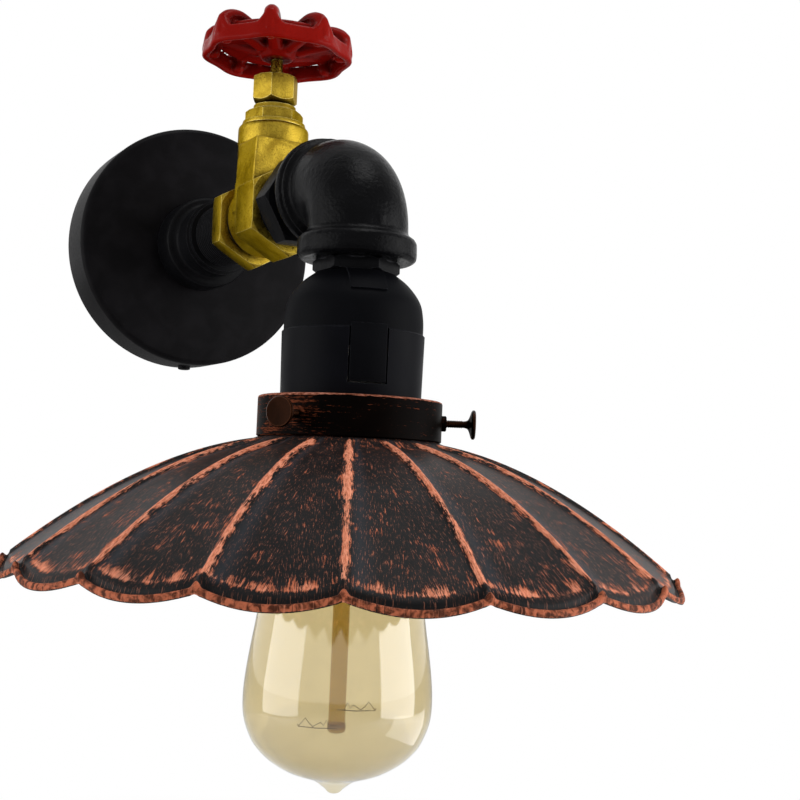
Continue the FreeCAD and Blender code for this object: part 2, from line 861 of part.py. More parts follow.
def wheel_spoke(angle):
    """Arched spoke from the hub over the window to the foot of the rim."""
    outer_mid_radius = (wheel_radius + arch_top_radius) / 2 + arch_bulge
    outer_mid_height = (wheel_bottom + arch_top) / 2 + arch_rise
    inner_top = arch_top - arch_thickness
    saddle_radius = (arch_top_radius + hub_radius) / 2 + edge_break
    points = [
        place(stem_axis, wheel_radius - fine_break, wheel_bottom, angle),
        (
            place(stem_axis, outer_mid_radius, outer_mid_height, angle),
            place(stem_axis, arch_top_radius, arch_top, angle),
        ),
        (
            place(stem_axis, saddle_radius, arch_top - edge_break, angle),
            place(stem_axis, hub_radius - overlap, hub_top - fine_break, angle),
        ),
        place(stem_axis, hub_radius - overlap, hub_top - web_thickness, angle),
        (
            place(stem_axis, saddle_radius, inner_top - edge_break, angle),
            place(stem_axis, arch_top_radius - overlap, inner_top, angle),
        ),
        (
            place(stem_axis, outer_mid_radius - arch_thickness + edge_break, outer_mid_height - arch_rise, angle),
            place(stem_axis, wheel_radius - arch_thickness, wheel_bottom, angle),
        ),
    ]
    sideways = stem_axis[1].cross(outward(stem_axis, angle))
    face = outline_face([shifted(item, sideways * (-arch_width / 2)) for item in points])
    return face.extrude(sideways * arch_width)


def shifted(item, offset):
    """Point, or pair of points, moved by an offset."""
    if isinstance(item, tuple):
        return tuple(point + offset for point in item)
    return item + offset


def handwheel_nut():
    """Nut that holds the wheel on the stem."""
    nut = hexagon(stem_axis, wheel_nut_flats, hub_top, hub_top + wheel_nut_height, 0, fine_break)
    bore = stem_radius * math.sqrt(0.5) + thread_gap
    return nut.cut(rod(stem_axis, bore, hub_top, hub_top + wheel_nut_height))


def hex_nipple():
    """Nipple with a hexagon in its middle, from the valve to the elbow."""
    rear = [(pipe_bore, hex_nipple_start)] + pipe_thread(hex_nipple_start, hex_nipple_hex_start + overlap)
    front = pipe_thread(hex_nipple_hex_end - overlap, hex_nipple_end) + [(pipe_bore, hex_nipple_end)]
    spine = turned(arm_axis, rear + front)
    nut = hexagon(arm_axis, hex_nipple_flats, hex_nipple_hex_start, hex_nipple_hex_end, 0, hex_chamfer)
    nut = nut.cut(rod(arm_axis, pipe_bore, hex_nipple_hex_start, hex_nipple_hex_end))
    return fused([spine, nut])


def elbow():
    """Quarter-bend fitting: beaded inlet towards the valve and banded outlet downwards."""
    bend_from = arm_length - elbow_bend
    centre = Vector(0, -bend_from, -elbow_bend)
    ridge_start = elbow_inlet + bead_width + bead_groove
    inlet = turned(arm_axis, [
        (0, elbow_inlet),
        (elbow_band_radius - edge_break, elbow_inlet),
        (elbow_band_radius, elbow_inlet + edge_break),
        (elbow_band_radius, elbow_inlet + bead_width - edge_break),
        (elbow_band_radius - edge_break, elbow_inlet + bead_width),
        (elbow_band_radius - bead_groove_depth, ridge_start),
        (elbow_band_radius - bead_groove_depth / 2, ridge_start + ridge_width / 3),
        (elbow_band_radius - bead_groove_depth, ridge_start + ridge_width),
        (elbow_radius, ridge_start + ridge_width + edge_break),
        (elbow_radius, bend_from),
        (0, bend_from),
    ])
    outlet_top = -elbow_reach + elbow_band_length
    outlet = turned(lamp_axis, [
        (0, -elbow_reach),
        (elbow_band_radius - edge_break, -elbow_reach),
        (elbow_band_radius + outlet_bulge, -elbow_reach + outlet_round),
        (elbow_band_radius + outlet_bulge, outlet_top - outlet_round),
        (elbow_radius, outlet_top),
        (elbow_radius, -elbow_bend),
        (0, -elbow_bend),
    ])
    bend = quarter_bend(centre, elbow_radius)
    body = fused([inlet, bend, outlet])
    socket = pipe_radius + thread_gap
    passage = quarter_bend(centre, elbow_bore).multiFuse([
        rod(arm_axis, socket, elbow_inlet, bend_from),
        rod(lamp_axis, socket, -elbow_reach, -elbow_bend),
    ])
    return body.cut(passage)


def quarter_bend(centre, radius):
    """Quarter of a ring from the arm's axis to the lamp's axis, about a bend centre."""
    start = centre + Vector(0, 0, elbow_bend)
    disc = Part.Face(Part.Wire(Part.Circle(start, Vector(0, -1, 0), radius).toShape()))
    return disc.revolve(centre, Vector(1, 0, 0), 90)


# Lampholder


def hex_bush():
    """Reducing bush screwed up into the elbow, with the entry nipple's thread inside."""
    top = -elbow_reach + bush_thread_length
    head = hexagon(lamp_axis, bush_flats, bush_bottom, -elbow_reach, bush_turn, hex_chamfer)
    foot = -elbow_reach - overlap
    crests = ridges(pipe_radius, pipe_thread_depth, pipe_pitch, top, foot)
    thread = turned(lamp_axis, [(0, top)] + crests + [(0, foot)])
    return fused([head, thread]).cut(rod(lamp_axis, entry_radius + thread_gap, bush_bottom, top))


def entry_nipple():
    """Small threaded tube that joins the bush and the lampholder."""
    return tube(lamp_axis, entry_radius, entry_bore, bush_bottom + entry_up, bush_bottom - entry_down)


def entry_nut():
    """Nut on the entry nipple inside the dome."""
    top = bush_bottom - holder_wall
    nut = hexagon(lamp_axis, entry_nut_flats, top - entry_nut_height, top, 0, edge_break)
    return nut.cut(rod(lamp_axis, entry_radius + thread_gap, top - entry_nut_height, top))


def dome_outline(inset, low_height):
    """Corners of the dome's outside, or of a surface inset from it."""
    top = bush_bottom - inset
    shoulder = bush_bottom - dome_shoulder_drop
    upper_mid = (dome_top_radius + dome_shoulder_radius) / 2 + dome_upper_bulge
    lower_mid = (dome_shoulder_radius + dome_low_radius) / 2 + dome_lower_bulge
    return [
        (dome_top_radius - inset, top),
        (upper_mid - inset, bush_bottom - dome_shoulder_drop * 0.42,
         dome_shoulder_radius - inset, shoulder),
        (lower_mid - inset, (shoulder + dome_bottom) / 2, dome_low_radius - inset, low_height),
    ]


def holder_dome():
    """Upper housing of the lampholder, with the locking tongue and a small tab on its top."""
    hole = entry_radius + thread_gap
    spigot_out = skirt_radius - holder_wall - thread_gap
    spigot_bottom = dome_bottom - spigot_length
    shoulder = bush_bottom - dome_shoulder_drop - holder_wall
    outline = [(hole, bush_bottom)] + dome_outline(0.0, dome_bottom)
    outline += [
        (spigot_out, dome_bottom),
        (spigot_out, spigot_bottom),
        (spigot_out - holder_wall, spigot_bottom),
        (dome_low_radius - 2 * holder_wall, dome_bottom),
        (dome_shoulder_radius - holder_wall, shoulder),
        (dome_top_radius - holder_wall, bush_bottom - holder_wall),
        (hole, bush_bottom - holder_wall),
    ]
    dome = turned(lamp_axis, outline)
    tongue = curved_bar(skirt_radius - holder_wall + thread_gap, skirt_radius - slip_gap, dome_bottom + tongue_root,
                        dome_bottom - tongue_length, tongue_width, tongue_angle)
    tab = curved_bar(dome_top_radius - holder_wall, dome_shoulder_radius, bush_bottom - fine_break,
                     bush_bottom - tab_height, tongue_width, tongue_angle)
    tab = tab.common(turned(lamp_axis, raised_dome_outline()))
    return fused([dome, tongue, tab])


def raised_dome_outline():
    """Dome's outside raised by the tab's thickness, closed at the axis."""
    return [(0, bush_bottom)] + dome_outline(-tab_thickness, dome_bottom)[:2] + [(0, bush_bottom - dome_shoulder_drop)]


def curved_bar(inner, outer, top, bottom, width, angle):
    """Piece of a ring of a given width, facing an angle."""
    ring = tube(lamp_axis, outer, inner, bottom, top)
    way = outward(lamp_axis, angle)
    across = lamp_axis[1].cross(way)
    foot = place(lamp_axis, 0, bottom) - across * (width / 2)
    reach = way * 2 * outer
    corners = [foot, foot + across * width, foot + across * width + reach, foot + reach]
    slab = outline_face(corners).extrude(Vector(0, 0, top - bottom))
    return ring.common(slab)


def holder_skirt():
    """Lower housing: a notched ring, a ledge for the core and a narrow neck for the clamp ring."""
    inner = skirt_radius - holder_wall
    throat = core_sleeve_radius + slip_gap
    ledge_top = core_flange_top - core_flange_thickness - thread_gap
    ledge_bottom = ledge_top - ledge_thickness
    floor_top = skirt_bottom + holder_wall
    outline = [
        (inner, dome_bottom - thread_gap),
        (skirt_radius, dome_bottom - thread_gap),
        (skirt_foot_radius, skirt_bottom),
        (neck_ring_radius, skirt_bottom),
        (neck_ring_radius, neck_ring_bottom),
        (throat, neck_ring_bottom),
        (throat, floor_top),
        (inner, floor_top),
        (inner, ledge_bottom),
        (throat, ledge_bottom),
        (throat, ledge_top),
        (inner, ledge_top),
    ]
    notch_bottom = dome_bottom - tongue_length - tongue_slit
    notch = curved_bar(inner, skirt_radius + overlap, dome_bottom + overlap, notch_bottom,
                       tongue_width + 2 * tongue_slit, tongue_angle)
    return turned(lamp_axis, outline).cut(notch)


def holder_core():
    """Ceramic core: a flange, a roof and a sleeve round the brass shell."""
    sleeve_bottom = neck_ring_bottom + core_setback
    flange = skirt_radius - holder_wall - slip_gap
    flange_bottom = core_flange_top - core_flange_thickness
    outline = [
        (0, core_flange_top),
        (flange, core_flange_top),
        (flange, flange_bottom),
        (core_sleeve_radius, flange_bottom),
        (core_sleeve_radius, sleeve_bottom),
        (core_radius_inside + thread_gap, sleeve_bottom),
        (core_radius_inside + thread_gap, shell_top),
        (0, shell_top),
    ]
    return turned(lamp_axis, outline).cut(rivet_hole(core_flange_top, shell_top))


def rivet_hole(top, bottom):
    """Hole for the rivet of the centre contact."""
    return Part.makeCylinder(rivet_radius + thread_gap, top - bottom, Vector(terminal_offset, -arm_length, bottom))


def screw_shell():
    """Threaded brass shell that takes the bulb's cap."""
    bottom = neck_ring_bottom + shell_setback
    return tube(lamp_axis, core_radius_inside, shell_radius, bottom, shell_top)


def centre_contact():
    """Sprung brass strip under the core's roof, with its rivet."""
    low = bulb_contact_top + soft_gap
    top = shell_top
    outer_end = terminal_offset + rivet_radius + edge_break
    bend = contact_width
    foot = contact_width * 0.4
    corners = [
        (outer_end, top),
        (outer_end, top - contact_strip),
        (bend, top - contact_strip),
        (foot, low),
        (-foot, low),
        (-foot, low + contact_strip),
        (foot - contact_strip, low + contact_strip),
        (bend - contact_strip, top),
    ]
    side = -arm_length - contact_width / 2
    strip = outline_face([Vector(x, side, z) for x, z in corners]).extrude(Vector(0, contact_width, 0))
    rivet_foot = top - contact_strip
    rivet = Part.makeCylinder(rivet_radius, core_flange_top + overlap - rivet_foot,
                              Vector(terminal_offset, -arm_length, rivet_foot))
    return strip.fuse(rivet)


def holder_terminals():
    """Two brass blocks on top of the core."""
    blocks = []
    half_width, half_depth = holder_terminal_width / 2, holder_terminal_depth / 2
    top = core_flange_top + holder_terminal_height
    for side in (-1, 1):
        middle = side * terminal_offset
        low = (middle - half_width, -arm_length - half_depth, core_flange_top)
        high = (middle + half_width, -arm_length + half_depth, top)
        rivet = Part.makeCylinder(rivet_radius + thread_gap, 2 * overlap, Vector(middle, -arm_length, core_flange_top))
        screw = Part.makeCylinder(holder_screw_radius + thread_gap, holder_screw_length,
                                  Vector(middle, -arm_length, top - holder_screw_length))
        blocks.append(block(low, high).cut([rivet, screw]))
    return Part.makeCompound(blocks)


def holder_terminal_screws():
    """Two screws in the holder's terminals."""
    screws = []
    for side in (-1, 1):
        seat = Vector(side * terminal_offset, -arm_length, core_flange_top + holder_terminal_height)
        shaft = Part.makeCylinder(holder_screw_radius, holder_screw_length, seat, Vector(0, 0, -1))
        head = Part.makeCylinder(holder_screw_head_radius, holder_screw_head_height, seat)
        screws.append(shaft.fuse(head))
    return Part.makeCompound(screws)


def clamp_ring():
    """Threaded ring that clamps the gallery against the holder's skirt."""
    top = gallery_top - gallery_wall
    return tube(lamp_axis, clamp_ring_radius, neck_ring_radius + thread_gap, top - clamp_ring_height, top)


# Gallery, thumb screws and shade


def shade_gallery():
    """Shallow cup that carries the shade, with three threaded bosses."""
    hole = neck_ring_radius + slip_gap
    outline = [
        (hole, gallery_top),
        (gallery_radius - gallery_edge, gallery_top),
        (gallery_radius, gallery_top - gallery_edge),
        (gallery_radius, gallery_bottom),
        (gallery_radius - gallery_wall, gallery_bottom),
        (gallery_radius - gallery_wall, gallery_top - gallery_wall),
        (hole, gallery_top - gallery_wall),
    ]
    bosses = []
    holes = []
    for angle in screw_angles:
        start = gallery_radius - gallery_wall / 2
        bosses.append(radial_rod(lamp_axis, boss_radius, thumb_screw_height, angle, start,
                                 gallery_radius + boss_height))
        holes.append(radial_rod(lamp_axis, thumb_screw_radius + slip_gap, thumb_screw_height, angle,
                                gallery_radius - 2 * gallery_wall, gallery_radius + 2 * boss_height))
    return fused([turned(lamp_axis, outline)] + bosses).cut(holes)


def thumb_screw(angle):
    """Thumb screw with a flared disc head, its tip just off the shade's neck."""
    tip = shade_neck_radius + soft_gap
    head_start = thumb_screw_reach - thumb_head_thickness - thumb_head_cone
    way = outward(lamp_axis, angle)
    axis = (place(lamp_axis, 0, thumb_screw_height), way, Vector(0, 0, 1))
    return turned(axis, [
        (0, tip),
        (thumb_screw_radius - thumb_screw_point, tip),
        (thumb_screw_radius, tip + thumb_screw_point),
        (thumb_screw_radius, head_start),
        (thumb_head_radius - fine_break, head_start + thumb_head_cone),
        (thumb_head_radius, head_start + thumb_head_cone + fine_break),
        (thumb_head_radius, thumb_screw_reach - fine_break),
        (thumb_head_radius - fine_break, thumb_screw_reach),
        (0, thumb_screw_reach),
    ])


def shade_height(radius):
    """Height of a rib's crest at a radius."""
    share = (radius - shade_neck_radius) / (shade_panel_radius - shade_neck_radius)
    drop = shade_drop_linear * share + shade_drop_square * share**2 + shade_drop_cube * share**3
    return shade_top - drop


def shade_line(side, across):
    """Stations from the shoulder to the lip along one line of a panel, as top and underside points.

    across is 0 on the rib's crest, 1 on its foot, and 2 in the middle of the panel.
    """
    half_pitch = 180.0 / rib_count
    spread = max(across - 1.0, 0.0)
    bow = 1.0 - (1.0 - spread) ** 2
    start = shade_shoulder_radius - shade_shoulder_lap
    end = shade_panel_radius + scallop_reach * bow
    top, under = [], []
    for share in (0.0, 0.12, 0.3, 0.5, 0.7, 0.87, 1.0):
        radius = start + (end - start) * share
        foot_angle = math.degrees(rib_half_width / radius)
        angle = foot_angle * min(across, 1.0) + (half_pitch - foot_angle) * spread
        lowering = rib_height * min(across, 1.0) + panel_sag * share**1.5 * bow
        height = shade_height(radius) - lowering
        top.append((radius, height, side * angle))
        under.append((radius, height - shade_sheet, side * angle))
    radius, height, angle = top[-1]
    lip_top = [(radius + gutter_reach, height - gutter_drop, angle), (radius + lip_reach, height - lip_drop, angle)]
    lip_under = [
        (radius, height - gutter_drop - shade_sheet * 0.6, angle),
        (radius + lip_reach, height - lip_drop - shade_sheet, angle),
    ]
    return top, lip_top, under, lip_under


def shade_edges(side, across, rib):
    """Edges along one line of the shade: two chains, each a curve and two straight steps."""
    chains = []
    top, lip_top, under, lip_under = shade_line(side, across)
    for curve_stations, steps in ((top, lip_top), (under, lip_under)):
        points = [place(lamp_axis, r, h, rib + a) for r, h, a in curve_stations]
        corners = [points[-1]] + [place(lamp_axis, r, h, rib + a) for r, h, a in steps]
        curve = Part.BSplineCurve()
        curve.interpolate(Points=points)
        chain = [curve.toShape()]
        for first, second in zip(corners, corners[1:]):
            chain.append(Part.makeLine(first, second))
        chains.append((chain, points[0], corners[-1]))
    return chains


def flat_patch(first, second, third, fourth):
    """Surface patch between two short edges given by their ends."""
    return Part.makeRuledSurface(Part.makeLine(first, second), Part.makeLine(fourth, third))


def shade():
    """Pleated shade: panels between raised ribs, a scalloped lip and a round neck."""
    pitch = 360.0 / rib_count
    lines = []
    for index in range(rib_count):
        rib = rib_angle + index * pitch
        for side, across in ((-1, 1.5), (-1, 1.0), (1, 0.0), (1, 1.0), (1, 1.5), (1, 2.0)):
            lines.append(shade_edges(side, across, rib))
    faces = []
    for left, right in zip(lines, lines[1:] + lines[:1]):
        (top_a, start_a, end_a), (under_a, low_a, foot_a) = left
        (top_b, start_b, end_b), (under_b, low_b, foot_b) = right
        for edge_a, edge_b in zip(top_a + under_a, top_b + under_b):
            faces.append(Part.makeRuledSurface(edge_a, edge_b))
        faces.append(flat_patch(start_a, low_a, low_b, start_b))
        faces.append(flat_patch(end_a, foot_a, foot_b, end_b))
    skin = Part.makeCompound(faces)
    skin.sewShape()
    pleats = Part.Solid(skin.Shells[0])
    if pleats.Volume < 0:
        pleats.reverse()
    return pleats.fuse(shade_neck())


def shade_neck():
    """Round neck with a rolled bead and the shoulder ring that the pleats leave from."""
    inner = shade_neck_radius - shade_sheet
    top = shade_top + shade_neck_height
    bead = shade_neck_radius + shade_neck_bead
    return turned(lamp_axis, [
        (inner, shade_top - shade_shoulder_height),
        (shade_shoulder_radius, shade_height(shade_shoulder_radius) - rib_height - shade_sheet - fine_break),
        (shade_shoulder_radius, shade_height(shade_shoulder_radius) + fine_break),
        (shade_neck_radius + shade_sheet, shade_top),
        (shade_neck_radius, shade_top),
        (shade_neck_radius, top - shade_bead_height),
        (bead, top - shade_bead_height * 0.7),
        (bead, top - shade_bead_height * 0.3),
        (shade_neck_radius, top),
        (inner, top),
    ])


# Bulb


def bulb_contact():
    """Solder tip of the cap."""
    bottom = bulb_contact_top - bulb_contact_height
    return turned(lamp_axis, [
        (0, bulb_contact_top),
        (bulb_contact_radius - hex_chamfer, bulb_contact_top),
        (bulb_contact_radius, bottom + edge_break),
        (bulb_contact_radius, bottom),
        (0, bottom),
    ])


def bulb_insulator():
    """Black glass between the tip and the cap's shell."""
    top = bulb_contact_top - bulb_contact_height
    return turned(lamp_axis, [
        (0, top),
        (bulb_contact_radius + bulb_cap_sheet, top),
        (bulb_cap_radius - bulb_cap_thread_depth - bulb_cap_sheet, top - bulb_insulator_height),
        (0, top - bulb_insulator_height),
    ])


def bulb_cap():
    """Threaded shell of the cap."""
    top = bulb_contact_top - bulb_contact_height - bulb_insulator_height
    bottom = glass_top
    inner = bulb_cap_radius - bulb_cap_thread_depth - bulb_cap_sheet
    outline = [(inner - bulb_cap_lip, top)]
    outline += ridges(bulb_cap_radius, bulb_cap_thread_depth, bulb_cap_pitch, top, bottom + bulb_cap_plain)
    outline += [(bulb_cap_radius - thread_gap, bottom), (inner, bottom), (inner, top - bulb_cap_sheet),
                (inner - bulb_cap_lip, top - bulb_cap_sheet)]
    return turned(lamp_axis, outline)


def glass_curve(inset):
    """Meridian of the glass from the neck to the root of its tip, and the curve's two ends."""
    run = glass_top - glass_widest_height
    swell = glass_widest_radius - glass_neck_radius
    bowl = glass_widest_height - glass_tip_height - glass_tip_length
    stations = []
    for radius_share, run_share in ((0.0, 0.0), (0.08, 0.1), (0.33, 0.3), (0.72, 0.57), (0.95, 0.84), (1.0, 1.0)):
        stations.append((glass_neck_radius + swell * radius_share - inset, glass_top - run * run_share))
    for radius_share, bowl_share in ((0.945, 0.39), (0.84, 0.61), (0.66, 0.8), (0.42, 0.93)):
        stations.append((glass_widest_radius * radius_share - inset, glass_widest_height + inset - bowl * bowl_share))
    stations.append((glass_tip_radius - inset, glass_widest_height + inset - bowl))
    curve = Part.BSplineCurve()
    curve.interpolate(Points=[place(lamp_axis, radius, height) for radius, height in stations])
    return curve.toShape(), stations[0], stations[-1]


def bulb_glass():
    """Pear-shaped glass with a drawn tip."""
    outer, outer_start, outer_end = glass_curve(0.0)
    inner, inner_start, inner_end = glass_curve(glass_wall)
    tip = [
        outer_end,
        (glass_tip_radius * 0.6, glass_tip_height + glass_tip_length * 0.4),
        (glass_tip_radius * 0.3, glass_tip_height + glass_wall / 2),
        (0, glass_tip_height),
        (0, inner_end[1]),
        inner_end,
    ]
    corners = [place(lamp_axis, radius, height) for radius, height in tip]
    lines = [Part.makeLine(first, second) for first, second in zip(corners, corners[1:])]
    neck = Part.makeLine(place(lamp_axis, *inner_start), place(lamp_axis, *outer_start))
    wire = Part.Wire(Part.__sortEdges__([outer, inner, neck] + lines))
    return Part.Face(wire).revolve(lamp_axis[0], lamp_axis[1], 360)


def bulb_stem():
    """Glass stem with a flare in the neck and a button at its end."""
    flare = glass_neck_radius - glass_wall
    button = bulb_stem_radius + stem_button_swell
    return turned(lamp_axis, [
        (0, glass_top),
        (flare, glass_top),
        (flare, glass_top - hex_chamfer),
        (bulb_stem_radius + stem_button_swell, glass_top - stem_flare_length),
        (bulb_stem_radius, glass_top - stem_flare_length - stem_button_height),
        (bulb_stem_radius, bulb_stem_end + stem_button_height),
        (button, bulb_stem_end + stem_button_height - edge_break),
        (button, bulb_stem_end + edge_break),
        (0, bulb_stem_end),
    ])


def straight_wire(first, second, radius):
    """Round wire between two points."""
    return Part.makeCylinder(radius, first.distanceToPoint(second), first, second - first)


def filament_hooks():
    """Thin wires that stand out of the stem's button and carry the filament's lower bends."""
    hooks = []
    height = bulb_stem_end + hook_height
    for index in range(hook_count):
        angle = index * 360.0 / hook_count
        inner = place(lamp_axis, bulb_stem_radius + stem_button_swell, height, angle)
        outer = place(lamp_axis, hook_reach, height + hook_rise, angle)
        hooks.append(straight_wire(inner, outer, lead_wire_radius))
    return Part.makeCompound(hooks)


def filament():
    """Zigzag of fine wire from hook to hook round the stem."""
    low = bulb_stem_end + filament_height
    pieces = []
    for index in range(hook_count - 1):
        first_angle = index * 360.0 / hook_count
        second_angle = (index + 1) * 360.0 / hook_count
        peak_angle = (first_angle + second_angle) / 2
        first = place(lamp_axis, hook_reach - lead_wire_radius, low, first_angle)
        peak = place(lamp_axis, hook_reach - lead_wire_radius, low + filament_rise, peak_angle)
        second = place(lamp_axis, hook_reach - lead_wire_radius, low, second_angle)
        pieces.append(straight_wire(first, peak, filament_radius))
        pieces.append(straight_wire(peak, second, filament_radius))
    return fused(pieces)


NODES = {
    "wall_bracket": wall_bracket,
    "wall_plate": wall_plate,
    "side_screws": side_screws,
    "terminal_block": terminal_block,
    "terminal_tubes": terminal_tubes,
    "terminal_screws": terminal_screws,
    "terminal_fixing_screw": terminal_fixing_screw,
    "earth_tag": earth_tag,
    "earth_screw": earth_screw,
    "cup_cores": cup_cores,
    "arm_cable": arm_cable,
    "plate_nipple": plate_nipple,
    "plate_lock_washer": plate_lock_washer,
    "plate_lock_nut": plate_lock_nut,
    "extension_piece": extension_piece,
    "valve_body": valve_body,
    "bonnet_gasket": bonnet_gasket,
    "valve_bonnet": valve_bonnet,
    "gland_packing": gland_packing,
    "gland_nut": gland_nut,
    "valve_stem": valve_stem,
    "handwheel": handwheel,
    "handwheel_nut": handwheel_nut,
    "hex_nipple": hex_nipple,
    "elbow": elbow,
    "head_cable": head_cable,
    "hex_bush": hex_bush,
    "entry_nipple": entry_nipple,
    "entry_nut": entry_nut,
    "holder_dome": holder_dome,
    "holder_skirt": holder_skirt,
    "holder_core": holder_core,
    "holder_cores": holder_cores,
    "holder_terminals": holder_terminals,
    "holder_terminal_screws": holder_terminal_screws,
    "screw_shell": screw_shell,
    "centre_contact": centre_contact,
    "clamp_ring": clamp_ring,
    "shade_gallery": shade_gallery,
    "shade": shade,
    "bulb_contact": bulb_contact,
    "bulb_insulator": bulb_insulator,
    "bulb_cap": bulb_cap,
    "bulb_glass": bulb_glass,
    "bulb_stem": bulb_stem,
    "filament_hooks": filament_hooks,
    "filament": filament,
}
for number, screw_angle in enumerate(screw_angles, start=1):
    NODES["thumb_screw_%d" % number] = lambda angle=screw_angle: thumb_screw(angle)


os.makedirs("parts", exist_ok=True)
for name, build in NODES.items():
    shape = build()
    bounds = shape.BoundBox
    print("%-24s solids %d valid %s volume %9.1f  x %.1f..%.1f y %.1f..%.1f z %.1f..%.1f" % (
        name, len(shape.Solids), shape.isValid(), shape.Volume, bounds.XMin, bounds.XMax,
        bounds.YMin, bounds.YMax, bounds.ZMin, bounds.ZMax))
    shape.exportStep("parts/%s.step" % name)
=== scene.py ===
import json
import logging
import math
from dataclasses import dataclass, field
from enum import Enum
from typing import Callable, Sequence

import bpy
from mathutils import Matrix, Vector

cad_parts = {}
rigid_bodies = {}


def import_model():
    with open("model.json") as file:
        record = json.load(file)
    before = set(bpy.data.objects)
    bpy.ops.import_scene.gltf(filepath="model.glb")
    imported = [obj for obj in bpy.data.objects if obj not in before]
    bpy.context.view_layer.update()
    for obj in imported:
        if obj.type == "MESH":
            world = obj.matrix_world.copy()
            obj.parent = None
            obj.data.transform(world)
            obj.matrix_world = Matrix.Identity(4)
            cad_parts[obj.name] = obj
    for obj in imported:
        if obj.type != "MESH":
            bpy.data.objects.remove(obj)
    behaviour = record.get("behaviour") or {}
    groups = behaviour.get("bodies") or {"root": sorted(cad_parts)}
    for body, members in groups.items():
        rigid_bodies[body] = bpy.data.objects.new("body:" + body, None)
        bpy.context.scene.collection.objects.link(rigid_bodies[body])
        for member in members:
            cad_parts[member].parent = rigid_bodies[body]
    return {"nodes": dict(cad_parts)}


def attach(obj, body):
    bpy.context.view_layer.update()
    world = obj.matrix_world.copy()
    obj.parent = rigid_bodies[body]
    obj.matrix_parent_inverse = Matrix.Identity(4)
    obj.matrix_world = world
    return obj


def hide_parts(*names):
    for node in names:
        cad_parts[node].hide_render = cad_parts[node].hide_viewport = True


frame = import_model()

LOG = logging.getLogger("wall_lamp")
MM = 0.001
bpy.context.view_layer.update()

Outline = Sequence[tuple[float, float]]
Place = tuple[float, float, float]
Colour = tuple[float, float, float]


# Places and modelling helpers


@dataclass(frozen=True)
class Axis:
    """Line that pieces are turned about. Its sizes are millimetres, and its points come out in metres."""

    foot: Place
    along: Place
    side: Place

    def way(self, angle: float = 0.0) -> Vector:
        """Unit vector that leaves the axis at an angle in degrees."""
        along, side = Vector(self.along), Vector(self.side)
        turn = math.radians(angle)
        return side * math.cos(turn) + along.cross(side) * math.sin(turn)

    def at(self, radius: float, height: float, angle: float = 0.0) -> Vector:
        """Point in metres at a radius, a height along the axis and an angle in degrees."""
        return (Vector(self.foot) + Vector(self.along) * height + self.way(angle) * radius) * MM

    def facing(self, angle: float = 0.0) -> Place:
        """Rotation that puts local Z along the axis and local Y out at an angle."""
        up, out = Vector(self.along), self.way(angle)
        across = out.cross(up)
        return tuple(Matrix((across, out, up)).transposed().to_euler())


ARM = Axis((0.0, 0.0, 0.0), (0.0, -1.0, 0.0), (1.0, 0.0, 0.0))
STEM = Axis((0.0, -100.5, 0.0), (0.0, 0.0, 1.0), (0.0, -1.0, 0.0))
LAMP = Axis((0.0, -178.0, 0.0), (0.0, 0.0, 1.0), (0.0, -1.0, 0.0))


class Body(Enum):
    """CAD bodies that pieces ride on."""

    WALL = "wall_base"
    WHEEL = "wheel"
    HEAD = "head"
    SCREW_RIGHT = "thumb_screw_right"
    SCREW_LEFT = "thumb_screw_left"
    SCREW_REAR = "thumb_screw_rear"
    SHADE = "pleated_shade"
    BULB = "bulb"


def select_only(*pieces: bpy.types.Object) -> None:
    """Selects the given pieces and nothing else, the first one active."""
    bpy.ops.object.select_all(action="DESELECT")
    for piece in pieces:
        piece.select_set(True)
    bpy.context.view_layer.objects.active = pieces[0]


def apply_modifier(piece: bpy.types.Object, modifier: bpy.types.Modifier) -> None:
    """Applies one modifier of a piece."""
    select_only(piece)
    bpy.ops.object.modifier_apply(modifier=modifier.name)


def bake_place(piece: bpy.types.Object) -> None:
    """Moves a piece's place into its mesh."""
    select_only(piece)
    bpy.ops.object.transform_apply(location=True, rotation=True, scale=True)


def started(name: str, primitive: Callable[..., object], **settings: object) -> bpy.types.Object:
    """Adds a primitive and moves its place into its mesh.

    Args:
        name: Name of the piece.
        primitive: Operator that adds it.
        settings: Size, place and rotation of the primitive.

    Returns:
        The new piece.
    """
    bpy.ops.object.select_all(action="DESELECT")
    primitive(**settings)
    piece = bpy.context.active_object
    piece.name = name
    bake_place(piece)
    return piece


def closed(piece: bpy.types.Object, reach: float = 0.002) -> bpy.types.Object:
    """Merges the points within a reach in millimetres and turns the faces outward."""
    select_only(piece)
    bpy.ops.object.mode_set(mode="EDIT")
    bpy.ops.mesh.select_all(action="SELECT")
    bpy.ops.mesh.remove_doubles(threshold=reach * MM)
    bpy.ops.mesh.normals_make_consistent(inside=False)
    bpy.ops.object.mode_set(mode="OBJECT")
    return piece


def spun(piece: bpy.types.Object, steps: int, angle: float, centre: Vector,
         along: Place) -> bpy.types.Object:
    """Spins a piece's mesh into a closed solid.

    Args:
        piece: The outline or disc to spin.
        steps: Divisions of the turn.
        angle: The turn in degrees.
        centre: Point on the axis, in metres.
        along: Direction of the axis.

    Returns:
        The piece.
    """
    select_only(piece)
    bpy.ops.object.mode_set(mode="EDIT")
    bpy.ops.mesh.select_all(action="SELECT")
    bpy.ops.mesh.spin(steps=steps, angle=math.radians(angle), center=centre, axis=along)
    bpy.ops.object.mode_set(mode="OBJECT")
    return closed(piece)


